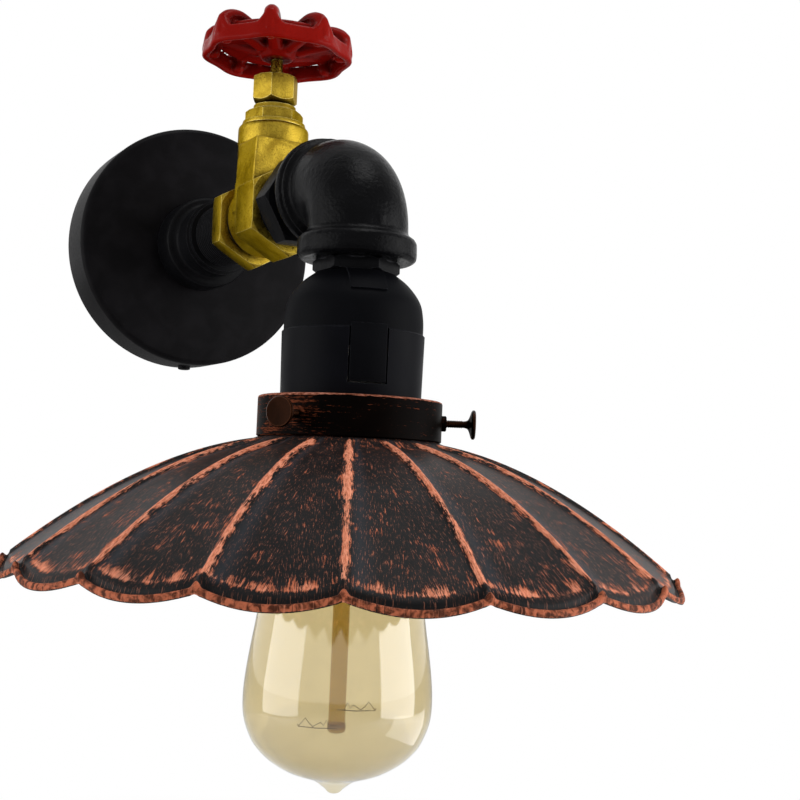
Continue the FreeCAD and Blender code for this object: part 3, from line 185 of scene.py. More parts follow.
def turned(name: str, axis: Axis, outline: Outline, steps: int = 128,
           ring: bool = False) -> bpy.types.Object:
    """Spins an outline about an axis, as on a lathe.

    Args:
        name: Name of the piece.
        axis: Axis of the lathe.
        outline: Corners as (radius, height) in millimetres.
        steps: Divisions round the axis.
        ring: True when the outline closes on itself clear of the axis.

    Returns:
        The turned piece.
    """
    corners = list(outline) + ([outline[0]] if ring else [])
    piece = started(name, bpy.ops.mesh.primitive_plane_add, size=MM, location=axis.at(*corners[0]))
    bpy.ops.object.mode_set(mode="EDIT")
    bpy.ops.mesh.select_mode(type="VERT")
    bpy.ops.mesh.select_all(action="SELECT")
    bpy.ops.mesh.merge(type="CENTER")
    bpy.ops.mesh.select_all(action="SELECT")
    for here, there in zip(corners, corners[1:]):
        step = axis.at(*there) - axis.at(*here)
        bpy.ops.mesh.extrude_vertices_move(TRANSFORM_OT_translate={"value": step})
    bpy.ops.object.mode_set(mode="OBJECT")
    return spun(piece, steps, 360.0, Vector(axis.foot) * MM, axis.along)


def smooth_line(stations: Outline, steps: int = 6) -> list[tuple[float, float]]:
    """Smooth curve through a few stations.

    Args:
        stations: Points that the curve goes through.
        steps: Divisions between two stations.

    Returns:
        The points of the curve, ends included.
    """
    ends = [stations[0], *stations, stations[-1]]
    line = []
    for before, first, second, after in zip(ends, ends[1:], ends[2:], ends[3:]):
        for step in range(steps):
            t = step / steps
            weights = (
                (-t + 2 * t**2 - t**3) / 2,
                (2 - 5 * t**2 + 3 * t**3) / 2,
                (t + 4 * t**2 - 3 * t**3) / 2,
                (-(t**2) + t**3) / 2,
            )
            spots = (before, first, second, after)
            line.append(tuple(sum(w * spot[k] for w, spot in zip(weights, spots)) for k in (0, 1)))
    line.append(tuple(stations[-1]))
    return line


def drum(name: str, axis: Axis, radius: float, start: float, end: float, turn: float = 0.0,
         sides: int = 96) -> bpy.types.Object:
    """Prism or cylinder on an axis between two heights.

    Args:
        name: Name of the piece.
        axis: Axis of the cylinder.
        radius: Radius to its corners.
        start: Height of one end.
        end: Height of the other end.
        turn: Angle of its first corner.
        sides: Number of its sides.

    Returns:
        The new piece.
    """
    return started(name, bpy.ops.mesh.primitive_cylinder_add, vertices=sides, radius=radius * MM,
                   depth=abs(end - start) * MM, location=axis.at(0, (start + end) / 2),
                   rotation=axis.facing(turn))


def brick(name: str, low: Sequence[float], high: Sequence[float]) -> bpy.types.Object:
    """Box between two corners in millimetres."""
    low, high = Vector(low), Vector(high)
    return started(name, bpy.ops.mesh.primitive_cube_add, size=1.0, location=(low + high) / 2 * MM,
                   scale=(high - low) * MM)


def carve(piece: bpy.types.Object, tool: bpy.types.Object,
          operation: str = "DIFFERENCE") -> bpy.types.Object:
    """Cuts a piece with a tool, or keeps what they share, and removes the tool."""
    modifier = piece.modifiers.new("carve", "BOOLEAN")
    modifier.object = tool
    modifier.operation = operation
    modifier.solver = "EXACT"
    apply_modifier(piece, modifier)
    bpy.data.objects.remove(tool)
    return piece


def soften(piece: bpy.types.Object, width: float, angle: float = 30.0) -> bpy.types.Object:
    """Rounds the edges that are sharper than an angle, by a width in millimetres."""
    modifier = piece.modifiers.new("soften", "BEVEL")
    modifier.width = width * MM
    modifier.segments = 2
    modifier.limit_method = "ANGLE"
    modifier.angle_limit = math.radians(angle)
    apply_modifier(piece, modifier)
    return piece


def joined(name: str, pieces: Sequence[bpy.types.Object]) -> bpy.types.Object:
    """Joins several meshes into one piece."""
    select_only(*pieces)
    bpy.ops.object.join()
    piece = bpy.context.active_object
    piece.name = name
    return piece


def cast_in_one(name: str, pieces: Sequence[bpy.types.Object], grain: float,
                rounds: int) -> bpy.types.Object:
    """Melts overlapping shapes into one casting with soft corners.

    Args:
        name: Name of the casting.
        pieces: Shapes that make it up.
        grain: Mesh size in millimetres.
        rounds: Rounds of smoothing.

    Returns:
        The casting.
    """
    piece = joined(name, pieces)
    remesh = piece.modifiers.new("melt", "REMESH")
    remesh.mode = "VOXEL"
    remesh.voxel_size = grain * MM
    apply_modifier(piece, remesh)
    smooth = piece.modifiers.new("smooth", "SMOOTH")
    smooth.factor = 0.5
    smooth.iterations = rounds
    apply_modifier(piece, smooth)
    return piece


def hexagon(name: str, axis: Axis, flats: float, start: float, end: float, turn: float = 0.0,
            chamfer: float = 1.2, edge: float = 0.25) -> bpy.types.Object:
    """Hexagon nut shape with its corners turned off at both ends.

    Args:
        name: Name of the piece.
        axis: Axis of the hexagon.
        flats: Distance across its flats.
        start: Height of one end.
        end: Height of the other end.
        turn: Angle of its first corner.
        chamfer: How far the corners are turned off.
        edge: Rounding of its edges.

    Returns:
        The new piece.
    """
    corner = flats / math.sqrt(3)
    low, high = min(start, end), max(start, end)
    slope = chamfer * math.tan(math.radians(30))
    piece = drum(name, axis, corner, low, high, turn, 6)
    limit = turned("limit", axis, [(0, low), (corner - chamfer, low), (corner, low + slope),
                                   (corner, high - slope), (corner - chamfer, high), (0, high)])
    carve(piece, limit, "INTERSECT")
    return soften(piece, edge, 20.0)


def ridges(radius: float, depth: float, pitch: float, start: float,
           end: float) -> list[tuple[float, float]]:
    """Corners of a row of rounded thread ridges.

    Args:
        radius: Radius of the crests.
        depth: Depth of the valleys.
        pitch: Distance between crests.
        start: Height where the row starts.
        end: Height where it ends.

    Returns:
        Corners as (radius, height).
    """
    count = max(1, int(abs(end - start) / pitch))
    step = (end - start) / count
    corners = [(radius - depth, start)]
    for index in range(count):
        for share, cut in ((0.38, 0.1), (0.62, 0.1), (1.0, 1.0)):
            corners.append((radius - depth * cut, start + step * (index + share)))
    return corners


def ring_sector(name: str, inner: float, outer: float, low: float, high: float, width: float,
                angle: float) -> bpy.types.Object:
    """Piece of a ring about the lamp's axis, of a given width, facing an angle.

    Args:
        name: Name of the piece.
        inner: Inner radius.
        outer: Outer radius.
        low: Lower height.
        high: Upper height.
        width: Width across.
        angle: Angle that it faces.

    Returns:
        The new piece.
    """
    piece = turned(name, LAMP, [(inner, low), (outer, low), (outer, high), (inner, high)], 160, True)
    window = started("window", bpy.ops.mesh.primitive_cube_add, size=1.0, rotation=LAMP.facing(angle),
                     location=LAMP.at(outer, (low + high) / 2, angle),
                     scale=(width * MM, 1.2 * outer * MM, 2 * (high - low) * MM))
    return carve(piece, window, "INTERSECT")


def wire(name: str, points: Sequence[Vector], radius: float, smooth: bool = True) -> bpy.types.Object:
    """Round wire through points in metres.

    Args:
        name: Name of the piece.
        points: Points of the wire.
        radius: Radius of the wire in millimetres.
        smooth: True for a smooth run, False for straight legs.

    Returns:
        The wire as a mesh.
    """
    curve = bpy.data.curves.new(name, "CURVE")
    curve.dimensions = "3D"
    curve.bevel_depth = radius * MM
    curve.bevel_resolution = 3
    curve.use_fill_caps = True
    spline = curve.splines.new("NURBS" if smooth else "POLY")
    spline.points.add(len(points) - 1)
    for spot, point in zip(spline.points, points):
        spot.co = (*point, 1.0)
    if smooth:
        spline.use_endpoint_u = True
        spline.order_u = 3
        spline.resolution_u = 8
    piece = bpy.data.objects.new(name, curve)
    bpy.context.scene.collection.objects.link(piece)
    select_only(piece)
    bpy.ops.object.convert(target="MESH")
    return bpy.context.active_object


def seat(piece: bpy.types.Object, body: Body, material: bpy.types.Material, slot: str, *nodes: str,
         sharp: float = 35.0) -> None:
    """Gives a finished piece its material, its body and the CAD nodes that it stands for.

    Args:
        piece: The finished piece.
        body: CAD body that it rides on.
        material: Its finish.
        slot: Material slot of the record; not used.
        nodes: CAD nodes that it replaces.
        sharp: Angle in degrees above which an edge stays sharp.
    """
    piece.data.materials.clear()
    piece.data.materials.append(material)
    select_only(piece)
    bpy.ops.object.shade_smooth_by_angle(angle=math.radians(sharp))
    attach(piece, body.value)
    if nodes:
        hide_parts(*nodes)
    LOG.info("%s rides on %s, %d faces", piece.name, body.value, len(piece.data.polygons))


def dress(material: bpy.types.Material, *nodes: str) -> None:
    """Gives CAD nodes that stay in view a finish."""
    for node in nodes:
        mesh = frame["nodes"][node].data
        for index in range(max(1, len(mesh.materials))):
            if len(mesh.materials) <= index:
                mesh.materials.append(material)
            else:
                mesh.materials[index] = material
        LOG.info("%s dressed", node)


# Finishes


class NodeSheet:
    """Node tree of one material, with short calls for the nodes that the finishes use."""

    def __init__(self, name: str) -> None:
        """Starts an empty material."""
        self.material = bpy.data.materials.new(name)
        self.material.use_nodes = True
        self.tree = self.material.node_tree
        self.tree.nodes.clear()
        self.spots = self.add("ShaderNodeTexCoord").outputs["Object"]

    def add(self, kind: str, **settings: object) -> bpy.types.Node:
        """Adds a node and sets its properties."""
        node = self.tree.nodes.new(kind)
        for key, value in settings.items():
            setattr(node, key, value)
        return node

    def feed(self, socket: bpy.types.NodeSocket, value: object) -> None:
        """Links a socket to another, or sets its value."""
        if isinstance(value, bpy.types.NodeSocket):
            self.tree.links.new(value, socket)
        elif isinstance(value, tuple) and socket.type == "RGBA" and len(value) == 3:
            socket.default_value = (*value, 1.0)
        else:
            socket.default_value = value

    def stretched(self, scale: Place, source: bpy.types.NodeSocket | None = None) -> bpy.types.NodeSocket:
        """Coordinates multiplied by a scale for each axis."""
        node = self.add("ShaderNodeVectorMath", operation="MULTIPLY")
        self.feed(node.inputs[0], source or self.spots)
        node.inputs[1].default_value = scale
        return node.outputs[0]

    def noise(self, size: float, detail: float = 4.0, rough: float = 0.55, warp: float = 0.0,
              source: bpy.types.NodeSocket | None = None) -> bpy.types.NodeSocket:
        """Noise whose features are about a size in millimetres."""
        node = self.add("ShaderNodeTexNoise")
        self.feed(node.inputs["Vector"], source or self.spots)
        node.inputs["Scale"].default_value = 1.0 / (size * MM)
        node.inputs["Detail"].default_value = detail
        node.inputs["Roughness"].default_value = rough
        node.inputs["Distortion"].default_value = warp
        return node.outputs["Fac"]

    def axes(self) -> tuple[bpy.types.NodeSocket, bpy.types.NodeSocket, bpy.types.NodeSocket]:
        """The three coordinates of a spot, in metres."""
        node = self.add("ShaderNodeSeparateXYZ")
        self.feed(node.inputs[0], self.spots)
        return tuple(node.outputs)

    def fit(self, value: bpy.types.NodeSocket, low: float, high: float, to_low: float = 0.0,
            to_high: float = 1.0) -> bpy.types.NodeSocket:
        """Maps a range of values onto another, with soft ends."""
        node = self.add("ShaderNodeMapRange", interpolation_type="SMOOTHSTEP")
        self.feed(node.inputs["Value"], value)
        for key, number in (("From Min", low), ("From Max", high), ("To Min", to_low), ("To Max", to_high)):
            node.inputs[key].default_value = number
        return node.outputs["Result"]

    def calc(self, operation: str, first: object, second: object = 0.0) -> bpy.types.NodeSocket:
        """Sum, product or other arithmetic of two values."""
        node = self.add("ShaderNodeMath", operation=operation)
        self.feed(node.inputs[0], first)
        self.feed(node.inputs[1], second)
        return node.outputs[0]

    def blend(self, share: object, first: object, second: object) -> bpy.types.NodeSocket:
        """Mixes two colours."""
        node = self.add("ShaderNodeMix", data_type="RGBA")
        self.feed(node.inputs[0], share)
        self.feed(node.inputs[6], first)
        self.feed(node.inputs[7], second)
        return node.outputs[2]

    def bump(self, height: bpy.types.NodeSocket, depth: float,
             under: bpy.types.NodeSocket | None = None) -> bpy.types.NodeSocket:
        """Relief with a depth in millimetres, on top of another relief."""
        node = self.add("ShaderNodeBump")
        node.inputs["Strength"].default_value = 1.0
        node.inputs["Distance"].default_value = depth * MM
        self.feed(node.inputs["Height"], height)
        if under is not None:
            self.feed(node.inputs["Normal"], under)
        return node.outputs["Normal"]

    def edges(self, width: float) -> bpy.types.NodeSocket:
        """Mask of the edges that stand out, about a width in millimetres."""
        round_off = self.add("ShaderNodeBevel", samples=4)
        round_off.inputs["Radius"].default_value = width * MM
        flat = self.add("ShaderNodeNewGeometry")
        compare = self.add("ShaderNodeVectorMath", operation="DOT_PRODUCT")
        self.feed(compare.inputs[0], round_off.outputs["Normal"])
        self.feed(compare.inputs[1], flat.outputs["Normal"])
        return self.fit(compare.outputs["Value"], 0.995, 0.93)

    def hollows(self, width: float) -> bpy.types.NodeSocket:
        """Mask of the hollows, about a width in millimetres."""
        node = self.add("ShaderNodeAmbientOcclusion", samples=4)
        node.inputs["Distance"].default_value = width * MM
        return self.fit(node.outputs["AO"], 0.80, 0.30)

    def surface(self, colour: object, rough: object, relief: bpy.types.NodeSocket | None = None,
                metal: object = 0.0, **constants: object) -> bpy.types.Material:
        """Closes the material with its shader.

        Args:
            colour: Base colour.
            rough: Roughness.
            relief: Normal from bump nodes.
            metal: Metallic share.
            constants: Other inputs of the shader, each one value, with _ for a space.

        Returns:
            The material.
        """
        shader = self.add("ShaderNodeBsdfPrincipled")
        self.feed(shader.inputs["Base Color"], colour)
        self.feed(shader.inputs["Roughness"], rough)
        self.feed(shader.inputs["Metallic"], metal)
        if relief is not None:
            self.feed(shader.inputs["Normal"], relief)
        for key, value in constants.items():
            self.feed(shader.inputs[key.replace("_", " ")], value)
        output = self.add("ShaderNodeOutputMaterial")
        self.tree.links.new(shader.outputs[0], output.inputs["Surface"])
        return self.material


@dataclass(frozen=True)
class BlackPaint:
    """Black paint on metal: grain under the paint, a few paler patches and edges rubbed lighter."""

    name: str
    colour: Colour = (0.0022, 0.0022, 0.0026)
    rubbed: Colour = (0.028, 0.028, 0.031)
    gloss: float = 0.42
    grain: float = 1.2
    grain_depth: float = 0.03
    lumps: float = 0.0
    shine: float = 0.04
    edge: float = 0.35

    def build(self) -> bpy.types.Material:
        """Makes the material."""
        sheet = NodeSheet(self.name)
        fine = sheet.noise(self.grain, 5.0, 0.6)
        broad = sheet.noise(self.grain * 12, 3.0, 0.5, 0.4)
        speck = sheet.noise(self.grain * 0.35, 2.0, 0.5)
        relief = sheet.bump(fine, self.grain_depth)
        if self.lumps:
            relief = sheet.bump(sheet.noise(self.grain * 4, 2.0, 0.5), self.lumps, relief)
        tint = sheet.blend(sheet.fit(broad, 0.35, 0.75), self.colour, tuple(c * 1.7 for c in self.colour))
        wear_and_side_shade = sheet.calc("MULTIPLY", sheet.edges(self.edge), sheet.fit(speck, 0.35, 0.62))
        colour = sheet.blend(wear_and_side_shade, tint, self.rubbed)
        rough = sheet.calc("ADD", sheet.fit(fine, 0.3, 0.7, -0.05, 0.07), self.gloss)
        return sheet.surface(colour, rough, relief, Specular_IOR_Level=self.shine)


@dataclass(frozen=True)
class Plastic:
    """Matt moulded plastic with a fine spark texture and faint scuffs."""

    name: str
    colour: Colour = (0.0022, 0.0023, 0.0030)
    scuffed: Colour = (0.020, 0.021, 0.025)
    gloss: float = 0.5
    shine: float = 0.02

    def build(self) -> bpy.types.Material:
        """Makes the material."""
        sheet = NodeSheet(self.name)
        fine = sheet.noise(0.35, 4.0, 0.6)
        broad = sheet.noise(14.0, 3.0, 0.5)
        relief = sheet.bump(fine, 0.012)
        wear_and_side_shade = sheet.calc("MULTIPLY", sheet.edges(0.3), sheet.fit(sheet.noise(0.8), 0.35, 0.65, 0.0, 0.7))
        tint = sheet.blend(sheet.fit(broad, 0.35, 0.7), self.colour, tuple(c * 1.3 for c in self.colour))
        colour = sheet.blend(wear_and_side_shade, tint, self.scuffed)
        rough = sheet.fit(broad, 0.3, 0.7, self.gloss - 0.04, self.gloss + 0.05)
        return sheet.surface(colour, rough, relief, Specular_IOR_Level=self.shine)


@dataclass(frozen=True)
class Metal:
    """Bare metal with grain, cloudy tarnish, hollows darkened partly as tarnish and partly as painted shade,
    and edges lighter partly as worn metal and partly as a painted highlight.
    """

    name: str
    colour: Colour
    tarnish: Colour
    # Edge colour: partly worn metal, partly a painted highlight.
    bright: Colour
    gloss: float = 0.32
    grain: float = 0.7
    grain_depth: float = 0.02
    glint: Colour = (1.0, 1.0, 1.0)

    def build(self) -> bpy.types.Material:
        """Makes the material."""
        sheet = NodeSheet(self.name)
        fine = sheet.noise(self.grain, 5.0, 0.65)
        cloud = sheet.noise(9.0, 4.0, 0.6, 0.6)
        relief = sheet.bump(fine, self.grain_depth)
        tint = sheet.blend(sheet.fit(cloud, 0.38, 0.72), self.colour, self.tarnish)
        tint = sheet.blend(sheet.fit(fine, 0.58, 0.40, 0.0, 0.45), tint, self.tarnish)
        # Darker in the hollows: partly tarnish, partly painted shade.
        tint = sheet.blend(sheet.hollows(5.0), tint, tuple(c * 0.35 for c in self.tarnish))
        # Lighter edges: partly worn metal, partly a painted highlight.
        colour = sheet.blend(sheet.edges(0.35), tint, self.bright)
        rough = sheet.calc("ADD", sheet.fit(fine, 0.3, 0.7, -0.06, 0.08), self.gloss)
        return sheet.surface(colour, rough, relief, 1.0, Specular_Tint=(*self.glint, 1.0))


@dataclass(frozen=True)
class RedEnamel:
    """Thick glossy red enamel with orange peel, darker in the hollows and small chips down to the iron; the
    dark hollows are partly pooled enamel and partly painted shade.
    """

    name: str = "red_enamel_thick"
    colour: Colour = (0.205, 0.0042, 0.0022)
    pooled_and_shaded: Colour = (0.024, 0.0005, 0.0003)
    iron: Colour = (0.02, 0.018, 0.02)

    def build(self) -> bpy.types.Material:
        """Makes the material."""
        sheet = NodeSheet(self.name)
        broad = sheet.noise(7.0, 3.0, 0.5, 0.5)
        peel = sheet.noise(2.4, 2.0, 0.4)
        chips = sheet.calc("GREATER_THAN", sheet.noise(2.8, 5.0, 0.7), 0.765)
        relief = sheet.bump(peel, 0.10)
        relief = sheet.bump(broad, 0.35, relief)
        # Darker in the hollows: partly enamel pooled thick, partly painted shade.
        tint = sheet.blend(sheet.hollows(17.0), self.colour, self.pooled_and_shaded)
        colour = sheet.blend(chips, tint, self.iron)
        rough = sheet.fit(peel, 0.3, 0.7, 0.17, 0.27)
        return sheet.surface(colour, rough, relief, Specular_IOR_Level=0.02, Coat_Weight=0.035,
                             Coat_Roughness=0.05)


class CopperBrush(Enum):
    """Where the copper brushing on the black gets its direction from."""

    ROUND = "round the gallery"
    PLEAT = "down the pleats"


@dataclass(frozen=True)
class BrushedCopper:
    """Black paint with copper dragged over it by a nearly dry brush. On the pleats, a bluish sheen is
    painted beside each rib, and painted shade takes copper off the shade's left and right sides.
    """

    name: str
    brush: CopperBrush
    black: Colour = (0.0055, 0.0055, 0.0058)
    copper: Colour = (0.50, 0.140, 0.068)
    pale: Colour = (0.88, 0.37, 0.235)
    shine: float = 0.06
    # Colour of the bluish sheen painted beside the ribs, a painted reflection.
    sheen: Colour = (0.020, 0.023, 0.028)

    def build(self) -> bpy.types.Material:
        """Makes the material."""
        sheet = NodeSheet(self.name)
        if self.brush is CopperBrush.PLEAT:
            flow = sheet.add("ShaderNodeUVMap", uv_map="pleat").outputs["UV"]
            bias = sheet.add("ShaderNodeAttribute", attribute_name="copper").outputs["Fac"]
            lip = sheet.add("ShaderNodeAttribute", attribute_name="lip").outputs["Fac"]
            # Share of the painted bluish sheen beside each rib.
            painted_sheen = sheet.add("ShaderNodeAttribute", attribute_name="painted_sheen").outputs["Fac"]
            strokes = sheet.noise(1.0, 4.0, 0.7, 0.3, sheet.stretched((1.3, 0.12, 1.0), flow))
            wisps = sheet.noise(1.0, 5.0, 0.75, 0.2, sheet.stretched((3.2, 0.45, 1.0), flow))
            dust_low, dust_share = 0.55, 0.70
            # Painted shade: copper is taken off towards the shade's left and right sides, across from its
            # front and back.
            x, y, _ = sheet.axes()
            depth = sheet.calc("ADD", sheet.calc("MULTIPLY", x, 0.44), sheet.calc("MULTIPLY", y, 0.90))
            depth = sheet.calc("ABSOLUTE", sheet.calc("ADD", depth, 160.0 * MM))
            wear_and_side_shade = sheet.fit(depth, 3.0 * MM, 32.0 * MM, -0.42, 0.0)
            uneven = sheet.fit(sheet.noise(7.0, 3.0, 0.6), 0.35, 0.65, -0.18, 0.12)
            bias = sheet.calc("ADD", bias, sheet.calc("ADD", wear_and_side_shade, uneven))
            bias = sheet.calc("MAXIMUM", bias, lip)
        else:
            x, _, z = sheet.axes()
            left = sheet.fit(x, -12.0 * MM, -27.0 * MM, 0.0, 0.24)
            top = sheet.fit(z, -74.9 * MM, -74.1 * MM, 0.0, 0.60)
            bias = sheet.calc("ADD", sheet.calc("ADD", left, top), 0.34)
            lip, painted_sheen = 0.0, 0.0
            strokes = sheet.noise(1.0, 4.0, 0.7, 0.2, sheet.stretched((0.05, 0.05, 1.3)))
            wisps = sheet.noise(1.0, 5.0, 0.75, 0.2, sheet.stretched((0.5, 0.5, 2.8)))
            dust_low, dust_share = 0.64, 0.30
        clouds = sheet.noise(11.0, 2.0, 0.5)
        blotch = sheet.noise(2.6, 3.0, 0.6, 0.5)
        mottle = sheet.calc("MULTIPLY", sheet.calc("ADD", strokes, wisps), 0.50)
        level = sheet.calc("ADD", bias, sheet.calc("MULTIPLY", sheet.calc("SUBTRACT", mottle, 0.5), 3.0))
        level = sheet.calc("ADD", level, sheet.fit(clouds, 0.3, 0.7, -0.10, 0.10))
        share = sheet.fit(level, 0.60, 0.80)
        heavy = sheet.calc("MULTIPLY", sheet.fit(wisps, 0.40, 0.64), sheet.fit(bias, 0.55, 0.85))
        shade = sheet.blend(heavy, self.copper, self.pale)
        rolled = sheet.blend(sheet.fit(blotch, 0.40, 0.62), tuple(c * 0.12 for c in self.copper),
                             tuple(c * 0.85 for c in self.copper))
        shade = sheet.blend(lip, shade, rolled)
        dark = sheet.blend(sheet.fit(clouds, 0.35, 0.7), self.black, tuple(c * 1.9 for c in self.black))
        # Painted sheen: a bluish reflection painted into the black on one side of each rib.
        dark = sheet.blend(painted_sheen, dark, self.sheen)
        colour = sheet.blend(share, dark, shade)
        dust = sheet.fit(wisps, dust_low, dust_low + 0.16, 0.0, dust_share)
        dust = sheet.calc("MULTIPLY", dust, sheet.fit(bias, -0.30, 0.05))
        colour = sheet.blend(dust, colour, tuple((a + b) / 2 for a, b in zip(self.copper, self.pale)))
        relief = sheet.bump(sheet.noise(0.6, 3.0, 0.6), 0.02)
        relief = sheet.bump(share, 0.05, relief)
        rough = sheet.fit(share, 0.0, 1.0, 0.40, 0.56)
        return sheet.surface(colour, rough, relief, Specular_IOR_Level=self.shine)


@dataclass(frozen=True)
class TintedGlass:
    """Clear glass with a tint, slight waves from blowing and a film of dust."""

    name: str
    tint: Colour
    gloss: float = 0.015
    wave: float = 0.05
    bending: float = 1.02

    def build(self) -> bpy.types.Material:
        """Makes the material."""
        sheet = NodeSheet(self.name)
        broad = sheet.noise(16.0, 2.0, 0.4)
        film = sheet.noise(6.0, 4.0, 0.6)
        relief = sheet.bump(broad, self.wave)
        colour = sheet.blend(sheet.fit(film, 0.35, 0.75), self.tint, tuple(c * 0.96 for c in self.tint))
        rough = sheet.fit(film, 0.3, 0.8, self.gloss, self.gloss + 0.02)
        return sheet.surface(colour, rough, relief, Transmission_Weight=1.0, IOR=self.bending,
                             Coat_Weight=1.0, Coat_IOR=1.7, Coat_Roughness=0.06)


# Base, tarnish and edge tones of the brass; the edge tone is partly a painted highlight.
BRASS_TONES = ((0.33, 0.228, 0.024), (0.15, 0.095, 0.008), (0.62, 0.50, 0.16))
Recipe = BlackPaint | Plastic | Metal | RedEnamel | BrushedCopper | TintedGlass


def finish(recipe: Recipe) -> bpy.types.Material:
    """Field of the set of finishes, whose material is made when the set is."""
    return field(default_factory=recipe.build)


@dataclass(frozen=True)
class FinishSet:
    """All the finishes of the lamp, each made once."""

    cup: bpy.types.Material = finish(BlackPaint(
        "satin_black_cup", (0.0042, 0.0039, 0.0044), gloss=0.38, grain=0.8, grain_depth=0.010, shine=0.025))
    pipe: bpy.types.Material = finish(BlackPaint(
        "black_pipe_paint", gloss=0.40, grain=1.1, grain_depth=0.06, lumps=0.10))
    casting: bpy.types.Material = finish(BlackPaint(
        "black_cast_iron_paint", gloss=0.20, grain=1.0, grain_depth=0.16, lumps=0.26, shine=0.035))
    plastic: bpy.types.Material = finish(Plastic("black_holder_plastic"))
    plastic_skirt: bpy.types.Material = finish(Plastic(
        "black_skirt_plastic", (0.0024, 0.0025, 0.0036), gloss=0.44, shine=0.025))
    brass: bpy.types.Material = finish(Metal(
        "cast_valve_brass", *BRASS_TONES, gloss=0.32, grain=0.6, grain_depth=0.15, glint=(0.80, 0.66, 0.38)))
    plain_brass: bpy.types.Material = finish(Metal(
        "plain_brass_bar", *BRASS_TONES, gloss=0.25, grain=0.5, grain_depth=0.01))
    enamel: bpy.types.Material = finish(RedEnamel())
    zinc: bpy.types.Material = finish(Metal(
        "zinc_steel_sheet", (0.55, 0.56, 0.58), (0.36, 0.37, 0.39), (0.8, 0.8, 0.82), gloss=0.38))
    bronze: bpy.types.Material = finish(Metal(
        "bronze_screw_metal", (0.009, 0.0030, 0.0013), (0.004, 0.0015, 0.0007), (0.045, 0.016, 0.007),
        gloss=0.42))
    solder: bpy.types.Material = finish(Metal(
        "tin_solder", (0.6, 0.6, 0.6), (0.42, 0.42, 0.43), (0.8, 0.8, 0.8), gloss=0.35))
    ring_copper: bpy.types.Material = finish(BrushedCopper(
        "brushed_copper_ring", CopperBrush.ROUND, (0.0012, 0.0006, 0.0004), (0.13, 0.033, 0.014),
        (0.46, 0.19, 0.13), shine=0.01))
    pleat_copper: bpy.types.Material = finish(BrushedCopper("brushed_copper_pleats", CopperBrush.PLEAT))
    white_plastic: bpy.types.Material = finish(Plastic(
        "white_block_plastic", (0.62, 0.61, 0.57), (0.75, 0.74, 0.70)))
    ceramic: bpy.types.Material = finish(Plastic(
        "white_core_ceramic", (0.68, 0.66, 0.60), (0.8, 0.78, 0.72), gloss=0.3))
    sheath: bpy.types.Material = finish(Plastic(
        "grey_cable_sheath", (0.05, 0.05, 0.05), (0.1, 0.1, 0.1)))
    core: bpy.types.Material = finish(Plastic(
        "brown_core_insulation", (0.16, 0.06, 0.03), (0.25, 0.1, 0.05), gloss=0.45))
    fibre: bpy.types.Material = finish(Plastic(
        "red_fibre_washer", (0.22, 0.06, 0.04), (0.3, 0.1, 0.07), gloss=0.6))
    amber: bpy.types.Material = finish(TintedGlass("amber_bulb_glass", (0.80, 0.715, 0.50)))
    stem_glass: bpy.types.Material = finish(TintedGlass(
        "clear_stem_glass", (0.50, 0.345, 0.075), wave=0.08))
    black_glass: bpy.types.Material = finish(Plastic(
        "black_cap_glass", (0.01, 0.01, 0.012), (0.03, 0.03, 0.03), gloss=0.12))
    wire: bpy.types.Material = finish(Metal(
        "support_wire_metal", (0.35, 0.30, 0.22), (0.2, 0.17, 0.12), (0.6, 0.55, 0.45), gloss=0.3))


# Sub-assemblies


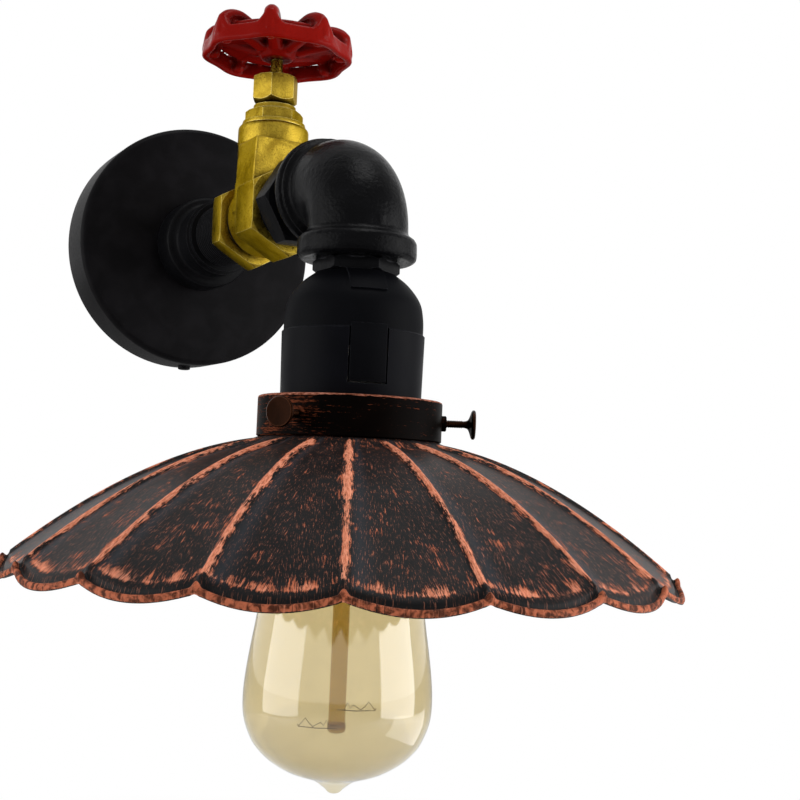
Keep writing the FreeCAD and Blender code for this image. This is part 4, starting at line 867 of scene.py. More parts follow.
@dataclass
class WallCup:
    """Round pressed cup on the wall, with its side screws, strap and terminals."""

    radius: float = 52.5
    depth: float = 22.0
    sheet: float = 1.2
    edge: float = 2.5
    hole: float = 13.25
    screw_distance: float = 9.5
    screw_radius: float = 1.5
    screw_length: float = 8.0
    head_radius: float = 2.7
    head_height: float = 1.6
    slot_width: float = 0.7

    def build(self) -> bpy.types.Object:
        """Models the cup as a pressed shell with a rolled rim.

        Returns:
            The cup.
        """
        outline = [(self.hole, self.depth - self.sheet), (self.hole, self.depth)]
        outline += self.corner(self.edge, [90.0 - step * 11.25 for step in range(9)])
        outline += [(self.radius, 0.25), (self.radius - 0.25, 0.0), (self.radius - self.sheet, 0.0)]
        outline += self.corner(self.edge - self.sheet, [step * 15.0 for step in range(7)])
        cup = turned("cup_shell", ARM, outline, 192, True)
        drill = drum("drill", Axis((0.0, -self.screw_distance, 0.0), (0.0, 0.0, 1.0), (1.0, 0.0, 0.0)),
                     self.screw_radius + 0.15, -self.radius - 1, self.radius + 1, 0, 32)
        return carve(cup, drill)

    def corner(self, radius: float, angles: Sequence[float]) -> list[tuple[float, float]]:
        """Points of the rounded edge at a radius from the edge's own centre."""
        middle, height = self.radius - self.edge, self.depth - self.edge
        turns = [math.radians(angle) for angle in angles]
        return [(middle + radius * math.cos(turn), height + radius * math.sin(turn)) for turn in turns]

    def screw(self, side: float) -> bpy.types.Object:
        """Models one side screw with its driver slot.

        Args:
            side: 1 for the upper screw, -1 for the lower one.

        Returns:
            The screw.
        """
        axis = Axis((0.0, -self.screw_distance, 0.0), (0.0, 0.0, side), (1.0, 0.0, 0.0))
        foot, top = self.radius - self.screw_length, self.radius + self.head_height
        shank, head = self.screw_radius, self.head_radius
        screw = turned("side_screw_body", axis, [
            (0, foot), (shank, foot), (shank, self.radius), (head, self.radius), (head, top - 0.5),
            (head * 0.9, top - 0.2), (head * 0.6, top), (0, top)], 40)
        low, high = sorted((side * (top - self.head_height / 2), side * (top + 1)))
        half = self.slot_width / 2
        slot = brick("slot", (-5, -self.screw_distance - half, low), (5, -self.screw_distance + half, high))
        return carve(screw, slot)

    def dress(self, finishes: FinishSet) -> None:
        """Builds the cup and the screws and finishes all the wall side."""
        seat(self.build(), Body.WALL, finishes.cup, "satin_black_paint", "wall_plate")
        screws = joined("cup_side_screws", [self.screw(1.0), self.screw(-1.0)])
        seat(screws, Body.WALL, finishes.cup, "black_screw", "side_screws")
        dress(finishes.zinc, "wall_bracket", "terminal_screws", "terminal_fixing_screw", "earth_tag",
              "earth_screw", "plate_nipple", "plate_lock_washer", "plate_lock_nut")
        dress(finishes.white_plastic, "terminal_block")
        dress(finishes.plain_brass, "terminal_tubes")
        dress(finishes.core, "cup_cores")
        dress(finishes.sheath, "arm_cable")


@dataclass
class PipeArm:
    """Painted pipe pieces of the arm: the extension behind the valve and the hex nipple before it."""

    start: float = 22.0
    band_length: float = 14.0
    band_radius: float = 19.6
    collar_radius: float = 15.0
    collar_end: float = 52.0
    ring_radius: float = 15.8
    thread_radius: float = 13.1
    thread_depth: float = 1.0
    thread_pitch: float = 1.8
    thread_end: float = 90.0
    bore: float = 9.5
    nipple_start: float = 112.0
    hex_start: float = 128.0
    hex_end: float = 138.0
    nipple_end: float = 160.5
    hex_flats: float = 30.4

    def thread(self, start: float, end: float) -> list[tuple[float, float]]:
        """Outline of a length of pipe thread."""
        return ridges(self.thread_radius, self.thread_depth, self.thread_pitch, start, end)

    def extension(self) -> bpy.types.Object:
        """Models the banded socket with its ring and its long thread.

        Returns:
            The extension piece.
        """
        band_end = self.start + self.band_length
        band, collar, ring, end = self.band_radius, self.collar_radius, self.ring_radius, self.collar_end
        outline = [(self.bore, self.start), (band - 0.8, self.start), (band, self.start + 0.8)]
        outline += smooth_line([(band, band_end - 2.2), (band - 0.5, band_end - 0.6),
                                (band - 1.6, band_end)], 4)
        outline += smooth_line([(collar + 1.8, band_end + 0.1), (collar + 0.5, band_end + 1.0),
                                (collar, band_end + 3.0)], 4)
        outline += [(collar, end - 4.2), (ring - 0.3, end - 4.0), (ring, end - 3.5), (ring, end - 2.6),
                    (collar - 0.3, end - 2.1), (collar - 0.3, end)]
        outline += self.thread(end + 0.5, self.thread_end) + [(self.bore, self.thread_end)]
        return turned("extension_socket", ARM, outline, 128, True)

    def nipple(self) -> bpy.types.Object:
        """Models the hex nipple with a thread on each side of the hexagon.

        Returns:
            The nipple.
        """
        outline = [(self.bore, self.nipple_start)]
        outline += self.thread(self.nipple_start, self.hex_start + 0.5)
        outline += self.thread(self.hex_end - 0.5, self.nipple_end)
        outline += [(self.bore, self.nipple_end)]
        spine = turned("nipple_spine", ARM, outline, 128, True)
        nut = hexagon("nipple_hexagon", ARM, self.hex_flats, self.hex_start, self.hex_end, 0.0, 1.4, 0.4)
        carve(nut, drum("drill", ARM, self.bore, self.hex_start - 1, self.hex_end + 1))
        return joined("nipple_body", [spine, nut])

    def dress(self, finishes: FinishSet) -> None:
        """Builds and finishes the painted pipe pieces."""
        seat(self.extension(), Body.WALL, finishes.pipe, "black_pipe", "extension_piece")
        seat(self.nipple(), Body.WALL, finishes.pipe, "black_pipe", "hex_nipple")


@dataclass
class Valve:
    """Brass valve: a cast body between two hexagons, bonnet, gland nut and stem."""

    start: float = 80.0
    end: float = 122.0
    flats: float = 31.5
    rear_length: float = 9.0
    front_length: float = 17.0
    bore: float = 13.2
    waist_radius: float = 12.8
    neck_radius: float = 13.4
    neck_half_width: float = 15.6
    neck_front: float = 119.0
    neck_taper: float = 0.91
    collar_radius: float = 13.7
    collar_bottom: float = 27.0
    collar_top: float = 35.5
    bonnet_flats: float = 19.6
    bonnet_turn: float = 14.0
    bonnet_top: float = 41.5
    gland_flats: float = 15.8
    gland_turn: float = -33.0
    gland_bottom: float = 44.0
    gland_top: float = 55.5
    cone_width: float = 3.0
    cone_rise: float = 2.6
    stem_radius: float = 2.4

    def casting(self) -> bpy.types.Object:
        """Models the cast middle: barrel, neck with its flat sides, and collar.

        Returns:
            The casting.
        """
        rear, front = self.start + self.rear_length, self.end - self.front_length
        waist, barrel = self.waist_radius, self.flats / 2 - 0.9
        spine = turned("barrel", ARM, [
            (0, rear - 1), (waist, rear - 1), (waist, rear + 2.4), (barrel - 1.3, rear + 3.2),
            (barrel, rear + 4.8), (barrel, front + 2), (0, front + 2)], 96)
        low, high, radius = self.collar_bottom, self.collar_top, self.collar_radius
        neck = drum("neck", STEM, self.neck_radius, 0, low + 1)
        slab = brick("slab", (-self.neck_half_width, -self.neck_front, 0),
                     (self.neck_half_width, STEM.foot[1], low - 0.4))
        for vertex in slab.data.vertices:
            if vertex.co.z > low / 2 * MM:
                vertex.co.x *= self.neck_taper
        collar = turned("collar", STEM, [
            (0, low - 0.4), (radius - 0.4, low), (radius, low + 0.9), (radius, high - 1.2),
            (radius - 1.0, high), (0, high)], 96)
        body = cast_in_one("valve_casting", [spine, neck, slab, collar], 0.5, 8)
        return carve(body, drum("drill", ARM, self.bore, rear - 5, self.end + 5))

    def hexagons(self) -> bpy.types.Object:
        """Models the two end hexagons with their threaded mouths.

        Returns:
            Both hexagons as one piece.
        """
        rear, front = self.start + self.rear_length, self.end - self.front_length
        ends = []
        for start, end in ((self.start, rear), (front, self.end)):
            nut = hexagon("end_hexagon", ARM, self.flats, start, end, 90, 1.5, 0.35)
            ends.append(carve(nut, drum("drill", ARM, self.bore, start - 1, end + 1)))
        return joined("valve_hexagons", ends)

    def bonnet(self) -> bpy.types.Object:
        """Models the bonnet with its flange, hexagon and neck.

        Returns:
            The bonnet.
        """
        bore, low, top, neck = self.stem_radius + 0.05, self.collar_top, self.bonnet_top, self.gland_bottom
        spine = turned("bonnet_spine", STEM, [
            (bore, low - 6), (10.9, low - 6), (10.9, low), (12.3, low), (12.4, low + 0.4), (12.1, low + 1.5),
            (9.0, low + 1.6), (9.0, top), (8.4, top + 0.6), (8.2, neck - 0.3), (6.5, neck - 0.3),
            (6.5, neck + 5), (bore, neck + 5)], 96, True)
        nut = hexagon("bonnet_hexagon", STEM, self.bonnet_flats, low + 1.0, top, self.bonnet_turn, 1.2, 0.3)
        carve(nut, drum("drill", STEM, 8.5, low, top + 1))
        return joined("bonnet_body", [spine, nut])

    def gland(self) -> bpy.types.Object:
        """Models the gland nut.

        Returns:
            The nut.
        """
        low, top = self.gland_bottom, self.gland_top
        nut = hexagon("gland_nut_body", STEM, self.gland_flats, low, top, self.gland_turn, 1.1, 0.35)
        corner = self.gland_flats / math.sqrt(3) + 0.1
        cone = turned("cone", STEM, [
            (0, low), (corner - self.cone_width, low), (corner, low + self.cone_rise), (corner, top + 1),
            (0, top + 1)])
        carve(nut, cone, "INTERSECT")
        soften(nut, 0.25, 25.0)
        return carve(nut, drum("drill", STEM, self.stem_radius + 0.1, low - 1, top + 1))

    def dress(self, finishes: FinishSet) -> None:
        """Builds and finishes the valve."""
        seat(self.casting(), Body.WALL, finishes.brass, "valve_brass", "valve_body", sharp=50)
        seat(self.hexagons(), Body.WALL, finishes.brass, "valve_brass", "valve_body")
        seat(self.bonnet(), Body.WALL, finishes.brass, "valve_brass", "valve_bonnet")
        seat(self.gland(), Body.WALL, finishes.brass, "valve_brass", "gland_nut")
        dress(finishes.plain_brass, "valve_stem")
        dress(finishes.fibre, "bonnet_gasket", "gland_packing")


@dataclass
class Handwheel:
    """Cast red wheel with eight arched spokes over a wavy rim."""

    lobes: int = 8
    first: float = -29.3
    bottom: float = 62.3
    radius: float = 29.8
    rim_radius: float = 29.5
    rim_thickness: float = 2.8
    rim_height: float = 6.2
    rim_dip: float = 1.7
    arch_top: float = 76.9
    arch_top_radius: float = 19.8
    arch_radius: float = 2.9
    foot_spread: float = 6.5
    foot_radius: float = 1.9
    foot_line: tuple[Place, ...] = ((3.2, -2.2, 1.4), (2.8, -0.6, 1.0), (2.8, 1.6, 0.4), (3.2, 4.4, 0.0))
    hub_radius: float = 8.0
    hub_top: float = 72.5
    web_radius: float = 24.0
    web_bottom: float = 67.5
    web_thickness: float = 4.4
    square: float = 1.75

    def rim(self) -> bpy.types.Object:
        """Models the rim band, pulled in between the lobes.

        Returns:
            The rim.
        """
        outer, inner = self.rim_radius, self.rim_radius - self.rim_thickness
        low, top = self.bottom, self.bottom + self.rim_height
        rim = turned("rim", STEM, [
            (inner, low + 0.5), (inner + 0.6, low), (outer - 0.6, low), (outer, low + 0.6),
            (outer - 0.6, top - 0.6), (outer - 1.2, top), (inner - 0.2, top),
            (inner - 0.6, top - 0.6)], 192, True)
        centre = Vector(STEM.foot) * MM
        for vertex in rim.data.vertices:
            offset = vertex.co - centre
            flat = Vector((offset.x, offset.y, 0.0))
            angle = math.degrees(math.atan2(flat.x, -flat.y)) - self.first
            between = (1 - math.cos(math.radians(angle * self.lobes))) / 2
            vertex.co -= flat.normalized() * self.rim_dip * between * MM
        return rim

    def spoke(self, angle: float) -> bpy.types.Object:
        """Models one arched spoke.

        Args:
            angle: Angle of the spoke.

        Returns:
            The spoke.
        """
        thick, low = self.arch_radius, self.bottom + self.arch_radius
        side, arch, top = self.radius - thick, self.arch_top_radius, self.arch_top - thick
        stations = [
            (side - 0.1, low),
            (side - 0.2, self.bottom + 4.5),
            (side - 1.2, self.arch_top - 5.2),
            (arch + 3.6, top - 0.5),
            (arch - 0.4, top + 0.1),
            (arch - 4.6, top - 1.2),
            (self.hub_radius + 4.0, self.hub_top - 0.8),
            (self.hub_radius - 1.0, self.hub_top - 1.6),
        ]
        runs = []
        for inward in (0.0, 1.0, 2.0):
            line = smooth_line([(radius - inward, max(height - inward * 0.9, low))
                                for radius, height in stations], 4)
            points = [STEM.at(radius, height, angle) for radius, height in line]
            runs.append(wire("spoke", points, thick - inward * 0.2))
        rim_top = self.bottom + self.rim_height
        for spread in (-self.foot_spread, self.foot_spread):
            foot = [STEM.at(self.radius - inset, rim_top + rise, angle + share * spread)
                    for inset, rise, share in self.foot_line]
            runs.append(wire("foot", foot, self.foot_radius))
        return joined("spoke", runs)

    def build(self) -> bpy.types.Object:
        """Casts rim, spokes, web and hub in one.

        Returns:
            The wheel.
        """
        web, hub, low, top = self.web_radius, self.hub_radius, self.bottom, self.hub_top
        disc = turned("web", STEM, [
            (0, top - self.web_thickness), (hub + 3.0, top - self.web_thickness),
            (web - 0.8, self.web_bottom), (web, self.web_bottom + 0.8), (web, top - 2.2),
            (web - 0.8, top - 1.4), (hub + 0.5, top), (0, top)], 96)
        boss = turned("hub", STEM, [
            (0, low + 0.5), (hub - 2.0, low + 0.5), (hub, low + 3.0), (hub + 0.8, top - 1.0),
            (0, top - 1.0)], 96)
        pieces = [self.rim(), disc, boss]
        for index in range(self.lobes):
            angle = self.first + index * 360.0 / self.lobes
            pieces.append(self.spoke(angle))
            petal = [STEM.at(radius, height, angle) for radius, height in (
                (hub - 1.0, top - 6.0), (13.5, top - 3.6), (web - 1.0, top - 2.0))]
            pieces.append(wire("petal", petal, 3.0))
        wheel = cast_in_one("wheel_casting", pieces, 0.42, 9)
        half, middle = self.square, STEM.foot[1]
        square = brick("square", (-half, middle - half, low - 1), (half, middle + half, self.arch_top + 1))
        return carve(wheel, square)

    def dress(self, finishes: FinishSet) -> None:
        """Builds and finishes the wheel."""
        seat(self.build(), Body.WHEEL, finishes.enamel, "red_enamel", "handwheel", sharp=60)
        nut = hexagon("wheel_nut_body", STEM, 8.0, self.hub_top, self.hub_top + 3.2, 0, 0.6, 0.2)
        carve(nut, drum("drill", STEM, self.square, self.hub_top - 1, self.hub_top + 5))
        seat(nut, Body.WHEEL, finishes.plain_brass, "plain_brass", "handwheel_nut")


@dataclass
class Elbow:
    """Black cast elbow with a beaded inlet and a banded outlet, and the hexagonal bush under it."""

    arm_length: float = 178.0
    reach: float = 27.5
    radius: float = 17.0
    bend: float = 17.4
    band_radius: float = 19.8
    outlet_radius: float = 20.2
    band_length: float = 8.5
    thread_bore: float = 13.15
    passage: float = 10.5
    bush_flats: float = 25.4
    bush_turn: float = 3.6
    bush_bottom: float = -31.7
    bush_top: float = -18.5
    seam_half_width: float = 0.8

    def bend_piece(self, radius: float) -> bpy.types.Object:
        """Models a quarter bend by spinning a disc.

        Args:
            radius: Radius of the disc.

        Returns:
            The bend.
        """
        start = ARM.at(0, self.arm_length - self.bend)
        disc = started("bend", bpy.ops.mesh.primitive_circle_add, vertices=96, radius=radius * MM,
                       fill_type="NGON", location=start, rotation=ARM.facing())
        return spun(disc, 32, 90.0, start - Vector((0, 0, self.bend * MM)), (-1, 0, 0))

    def build(self) -> bpy.types.Object:
        """Casts bend, inlet and outlet in one.

        Returns:
            The elbow.
        """
        face, turn = self.arm_length - self.reach, self.arm_length - self.bend
        band, pipe, rim = self.band_radius, self.radius, self.outlet_radius
        inlet = turned("inlet", ARM, [
            (0, face), (band - 1.0, face), (band - 0.2, face + 0.5), (band, face + 1.4), (band, face + 2.6),
            (band - 0.3, face + 3.6), (band - 1.5, face + 4.1), (band - 1.6, face + 4.9),
            (band - 0.7, face + 5.4), (band - 0.7, face + 6.0), (band - 1.6, face + 6.7), (pipe, face + 7.6),
            (pipe, turn + 1), (0, turn + 1)])
        low, high = -self.reach, -self.reach + self.band_length
        outlet = turned("outlet", LAMP, [
            (0, low), (rim - 1.6, low), (rim - 0.3, low + 0.8), (rim, low + 2.2), (rim - 0.1, high - 2.2),
            (rim - 0.8, high - 1.0), (pipe + 0.6, high + 0.2), (pipe, high + 1.2), (pipe, -self.bend),
            (0, -self.bend)])
        half, front = self.seam_half_width, -self.arm_length - self.radius
        seam = brick("seam", (-half, front - 0.2, low + 2), (half, front + 0.6, -14))
        elbow = cast_in_one("elbow_casting", [self.bend_piece(self.radius), inlet, outlet, seam], 0.5, 2)
        carve(elbow, drum("drill", ARM, self.thread_bore, face - 1, face + 11))
        carve(elbow, drum("drill", LAMP, self.thread_bore, low - 1, low + 10))
        carve(elbow, self.bend_piece(self.passage))
        carve(elbow, drum("drill", ARM, self.passage, face, turn + 0.2))
        return carve(elbow, drum("drill", LAMP, self.passage, low, -self.bend + 0.2))

    def bush(self) -> bpy.types.Object:
        """Models the reducing bush's hexagon and thread.

        Returns:
            The bush.
        """
        low, top = -self.reach - 1, self.bush_top
        nut = hexagon("bush_hexagon", LAMP, self.bush_flats, self.bush_bottom, -self.reach, self.bush_turn,
                      edge=0.35)
        thread = turned("bush_thread", LAMP, [(0, low), *PipeArm().thread(low, top), (0, top)])
        return joined("bush_body", [nut, thread])

    def dress(self, finishes: FinishSet) -> None:
        """Builds and finishes the elbow and its bush."""
        seat(self.build(), Body.HEAD, finishes.casting, "black_cast_iron", "elbow", sharp=60)
        seat(self.bush(), Body.HEAD, finishes.pipe, "black_pipe", "hex_bush")
        dress(finishes.sheath, "head_cable")


@dataclass
class Lampholder:
    """Black screw-cap lampholder: domed top with a tab and a locking tongue, notched lower ring."""

    top: float = -31.7
    top_radius: float = 13.0
    shoulder_radius: float = 21.9
    shoulder_drop: float = 9.2
    low_radius: float = 23.3
    bottom: float = -51.9
    wall: float = 2.2
    skirt_radius: float = 23.9
    skirt_foot: float = 23.5
    skirt_bottom: float = -73.9
    neck_radius: float = 19.8
    neck_bottom: float = -84.9
    tongue_width: float = 12.0
    tongue_length: float = 17.5
    tongue_angle: float = -13.8
    tab_height: float = 7.5
    tab_lift: float = 0.8
    entry_hole: float = 5.05
    skirt_bore: float = 17.45

    def profile(self, lift: float = 0.0) -> list[tuple[float, float]]:
        """Curve of the dome's outside, moved out by a lift."""
        shoulder = self.top - self.shoulder_drop
        stations = [
            (self.top_radius, self.top),
            ((self.top_radius + self.shoulder_radius) / 2 + 0.5, self.top - self.shoulder_drop * 0.42),
            (self.shoulder_radius, shoulder),
            ((self.shoulder_radius + self.low_radius) / 2 + 0.55, (shoulder + self.bottom) / 2),
            (self.low_radius, self.bottom),
        ]
        return smooth_line([(radius + lift, height) for radius, height in stations], 8)

    def dome(self) -> bpy.types.Object:
        """Models the dome with its tab and tongue.

        Returns:
            The dome.
        """
        top, bottom, wall, hole = self.top, self.bottom, self.wall, self.entry_hole
        spigot = self.skirt_radius - wall - 0.1
        inside = [(radius - wall, height - (wall if height > top - 1 else 0.4))
                  for radius, height in self.profile()]
        outline = [(hole, top), (self.top_radius - 0.5, top)] + self.profile()[1:]
        outline += [(spigot, bottom), (spigot, bottom - 6.0), (spigot - wall, bottom - 6.0)]
        outline += [point for point in reversed(inside) if point[0] > 12.0] + [(hole, top - wall)]
        dome = turned("dome_shell", LAMP, outline, 160, True)
        tongue = ring_sector("tongue", self.skirt_radius - wall + 0.05, self.skirt_radius - 0.15,
                             bottom - self.tongue_length, bottom + 1.2, self.tongue_width, self.tongue_angle)
        soften(tongue, 0.3)
        tab = ring_sector("tab", self.top_radius - 2.2, self.shoulder_radius, top - self.tab_height,
                          top - 0.25, self.tongue_width, self.tongue_angle)
        cover = turned("cover", LAMP, [(0, top), *self.profile(self.tab_lift), (0, bottom)], 160)
        carve(tab, cover, "INTERSECT")
        soften(tab, 0.25)
        return joined("holder_dome_shell", [dome, tongue, tab])

    def skirt(self) -> bpy.types.Object:
        """Models the lower ring with the notch for the tongue.

        Returns:
            The skirt.
        """
        inner, outer, top = self.skirt_radius - self.wall, self.skirt_radius, self.bottom - 0.05
        low, foot, neck, bore = self.skirt_bottom, self.skirt_foot, self.neck_radius, self.skirt_bore
        outline = [
            (inner, top), (outer - 0.35, top), (outer, top - 0.35), (foot, low + 0.5), (foot - 0.5, low),
            (neck, low), (neck, self.neck_bottom), (bore, self.neck_bottom), (bore, low + self.wall),
            (inner, low + self.wall)]
        skirt = turned("skirt_ring", LAMP, outline, 160, True)
        notch = ring_sector("notch", inner - 1, outer + 1, self.bottom - self.tongue_length - 0.5,
                            self.bottom + 1, self.tongue_width + 1.0, self.tongue_angle)
        return carve(skirt, notch)

    def dress(self, finishes: FinishSet) -> None:
        """Builds and finishes the lampholder."""
        seat(self.dome(), Body.HEAD, finishes.plastic, "black_plastic", "holder_dome", sharp=30)
        seat(self.skirt(), Body.HEAD, finishes.plastic_skirt, "black_plastic", "holder_skirt", sharp=30)
        dress(finishes.ceramic, "holder_core")
        dress(finishes.plain_brass, "holder_terminals", "screw_shell", "centre_contact")
        dress(finishes.zinc, "entry_nipple", "entry_nut", "holder_terminal_screws", "clamp_ring")
        dress(finishes.core, "holder_cores")


@dataclass
class Gallery:
    """Shallow cup that carries the shade, with three thumb screws."""

    radius: float = 30.7
    top: float = -73.9
    bottom: float = -87.3
    wall: float = 0.9
    hole: float = 19.95
    screw_height: float = -80.7
    screw_radius: float = 1.25
    screw_tip: float = 28.7
    reach: float = 41.8
    head_radius: float = 4.9
    boss_radius: float = 2.6
    boss_height: float = 1.5

    def build(self, angles: Sequence[float]) -> bpy.types.Object:
        """Models the cup with a boss for each screw.

        Args:
            angles: Angles of the screws.

        Returns:
            The gallery.
        """
        rim, top, low, wall = self.radius, self.top, self.bottom, self.wall
        outline = [(self.hole, top - wall), (self.hole, top), (rim - 0.7, top), (rim - 0.2, top - 0.25),
                   (rim, top - 0.8), (rim, low + 0.3), (rim - 0.3, low), (rim - wall, low),
                   (rim - wall, top - wall)]
        cup = turned("gallery_cup", LAMP, outline, 192, True)
        bore, boss, end = self.screw_radius + 0.15, self.boss_radius, rim + self.boss_height
        boss_outline = [(bore, rim - 0.5), (boss, rim - 0.5), (boss, end - 0.3), (boss - 0.3, end),
                        (bore, end)]
        bosses = [turned("boss", self.screw_axis(angle), boss_outline, 40, True) for angle in angles]
        return joined("gallery_body", [cup, *bosses])

    def screw_axis(self, angle: float) -> Axis:
        """Axis of one thumb screw, out from the lamp's axis."""
        return Axis(tuple(LAMP.at(0, self.screw_height) / MM), tuple(LAMP.way(angle)), (0.0, 0.0, 1.0))

    def screw(self, name: str, angle: float) -> bpy.types.Object:
        """Models one thumb screw with a threaded shaft and a flared disc head.

        Args:
            name: Name of the screw.
            angle: Angle that it points to.

        Returns:
            The screw.
        """
        tip, shaft, disc, end = self.screw_tip, self.screw_radius, self.head_radius, self.reach
        head = end - 2.8
        outline = [(0, tip), (shaft - 0.5, tip)]
        outline += ridges(shaft, 0.16, 0.7, tip + 0.5, head - 1.4)
        outline += smooth_line([(shaft - 0.1, head - 0.6), (shaft + 0.5, head + 0.5),
                                (disc - 0.5, head + 1.5)], 4)
        outline += [(disc, head + 1.9), (disc, end - 0.35), (disc - 0.35, end), (disc * 0.55, end - 0.12),
                    (0, end - 0.15)]
        return turned(name, self.screw_axis(angle), outline, 48)

    def dress(self, finishes: FinishSet) -> None:
        """Builds and finishes the gallery and its screws."""
        screws = ((62.2, Body.SCREW_RIGHT, "thumb_screw_1"), (-57.8, Body.SCREW_LEFT, "thumb_screw_2"),
                  (182.2, Body.SCREW_REAR, "thumb_screw_3"))
        gallery = self.build([angle for angle, _, _ in screws])
        seat(gallery, Body.HEAD, finishes.ring_copper, "brushed_copper_black", "shade_gallery")
        for angle, body, node in screws:
            piece = self.screw(node.replace("screw", "screw_turned"), angle)
            seat(piece, body, finishes.bronze, "bronze_screw", node)


@dataclass
class PleatedShade:
    """Pleated shade: panels that sag between copper-brushed ribs, with a gutter and a rolled lip."""

    ribs: int = 18
    first: float = -86.3
    neck_radius: float = 28.4
    neck_height: float = 10.5
    top: float = -87.6
    shoulder_radius: float = 31.0
    panel_radius: float = 106.0
    drop: tuple[float, float, float] = (10.0, 33.0, -4.0)
    sheet: float = 1.0
    rib_half_width: float = 1.9
    rib_height: float = 1.4
    sag: float = 1.6
    scallop: float = 1.4
    across_steps: int = 22
    down_steps: int = 62
    lip_line: Outline = ((0.0, 0.0), (0.25, -1.1), (0.7, -2.25), (1.2, -2.55), (1.7, -2.25), (2.2, -1.9),
                         (2.8, -2.0), (3.2, -2.8), (3.25, -3.6), (2.9, -4.4))

    def height(self, radius: float) -> float:
        """Height of a rib's crest at a radius."""
        share = (radius - self.neck_radius) / (self.panel_radius - self.neck_radius)
        return self.top - self.drop[0] * share - self.drop[1] * share**2 - self.drop[2] * share**3

    def run(self, across: float, down: float) -> tuple[float, float, float, float]:
        """Place on the pleat and how much copper it takes.

        Args:
            across: 0 on a rib's crest, 1 on its foot and 2 in the middle of a panel.
            down: 0 at the top of the neck, 1 at the shoulder, 2 at the panel's foot and 3 at the lip.

        Returns:
            Radius, height, 1 on the rolled lip and 0 elsewhere, and copper from 0 to 1.
        """
        spread = max(across - 1.0, 0.0)
        bow = 1.0 - (1.0 - spread) ** 2
        crest = 1.0 - min(across, 1.0)
        crest = crest * crest * (3 - 2 * crest)
        if down <= 1.0:
            radius = self.neck_radius + (0.7 if 0.03 < down < 0.12 else 0.0)
            height = self.top + self.neck_height * (1.0 - down)
            if down > 0.93:
                radius += (down - 0.93) / 0.07 * (self.shoulder_radius - self.neck_radius)
            return radius, height, 0.0, 0.30 + 0.25 * (down > 0.93)
        end = self.panel_radius + self.scallop * bow
        if down <= 2.0:
            share = down - 1.0
            radius = self.shoulder_radius + (end - self.shoulder_radius) * share
            rise = min(1.0, share / 0.06)
            lowering = self.rib_height * (1.0 - crest) * rise + self.sag * share**1.5 * bow
            copper = self.copper(across, share)
            return radius, self.height(radius) - lowering, 0.0, copper
        share = down - 2.0
        lowering = self.rib_height * (1.0 - crest) * (1.0 - 0.55 * share) + self.sag * bow
        base = self.height(end) - lowering
        knob = 0.9 * crest * math.sin(math.pi * share)
        spot = share * (len(self.lip_line) - 1)
        index = min(int(spot), len(self.lip_line) - 2)
        part = spot - index
        here, there = self.lip_line[index], self.lip_line[index + 1]
        reach, fall = (here[k] * (1 - part) + there[k] * part for k in (0, 1))
        rolled = 1.0 if 0.42 < share < 0.95 else 0.0
        copper = max(1.5 * rolled - 0.5, 0.85 * crest * (share > 0.35))
        return end + reach, base + fall + knob, rolled, copper

    def copper(self, across: float, share: float) -> float:
        """Share of copper on the panel: full on the ribs, a fringe above the gutter and wisps between."""
        rib = 1.12 * max(0.0, 1.0 - across / 1.65) * min(1.0, 0.3 + share / 0.06)
        fringe = 0.35 * max(0.0, min(1.0, (share - 0.93) / 0.04))
        wisps = 0.24 + 0.12 * share + 0.08 * max(0.0, 1.0 - abs(across - 1.7) / 0.4)
        crown = 0.25 * max(0.0, 1.0 - share / 0.16)
        return min(1.0, max(rib, wisps + fringe + crown))

    def sector(self) -> bpy.types.Object:
        """Models one pleat, from the middle of a panel over a rib to the middle of the next.

        Returns:
            The pleat.
        """
        piece = started("pleat", bpy.ops.mesh.primitive_grid_add, x_subdivisions=2 * self.across_steps,
                        y_subdivisions=self.down_steps, size=2.0)
        mesh = piece.data
        paint = mesh.attributes.new("copper", "FLOAT", "POINT")
        roll = mesh.attributes.new("lip", "FLOAT", "POINT")
        painted_sheen = mesh.attributes.new("painted_sheen", "FLOAT", "POINT")
        flow = {}
        half_pitch = 180.0 / self.ribs
        for vertex in mesh.vertices:
            side = 1.0 if vertex.co.x >= 0 else -1.0
            across = self.spacing(abs(vertex.co.x))
            down = self.stations(1.0 - (vertex.co.y + 1.0) / 2)
            radius, height, rolled, copper = self.run(across, down)
            foot = math.degrees(self.rib_half_width / radius)
            angle = foot * min(across, 1.0) + (half_pitch - foot) * max(across - 1.0, 0.0)
            paint.data[vertex.index].value = copper
            roll.data[vertex.index].value = rolled
            # Painted sheen: share of bluish reflection painted on one side of each rib.
            painted_sheen.data[vertex.index].value = self.sheen_strip(side, across, down)
            flow[vertex.index] = (side * math.radians(angle) * radius * MM, radius * MM)
            vertex.co = LAMP.at(radius, height, self.first + side * angle)
        layer = mesh.uv_layers.new(name="pleat")
        for loop in mesh.loops:
            layer.data[loop.index].uv = flow[loop.vertex_index]
        return piece

    def sheen_strip(self, side: float, across: float, down: float) -> float:
        """How much a point belongs to the strip on one side of a rib that gets a painted bluish sheen."""
        if side < 0 or not 1.0 < down < 2.0:
            return 0.0
        return max(0.0, 1 - abs(across - 1.12) / 0.3)

    def spacing(self, share: float) -> float:
        """Spreads the lines so that most of them lie on the rib."""
        return 1.6 * share / 0.45 if share < 0.45 else 1.6 + 0.4 * (share - 0.45) / 0.55

    def stations(self, share: float) -> float:
        """Spreads the rows: some on the neck, most on the panel, and many on the lip."""
        if share < 0.14:
            return share / 0.14
        if share < 0.74:
            return 1.0 + (share - 0.14) / 0.60
        return 2.0 + (share - 0.74) / 0.26

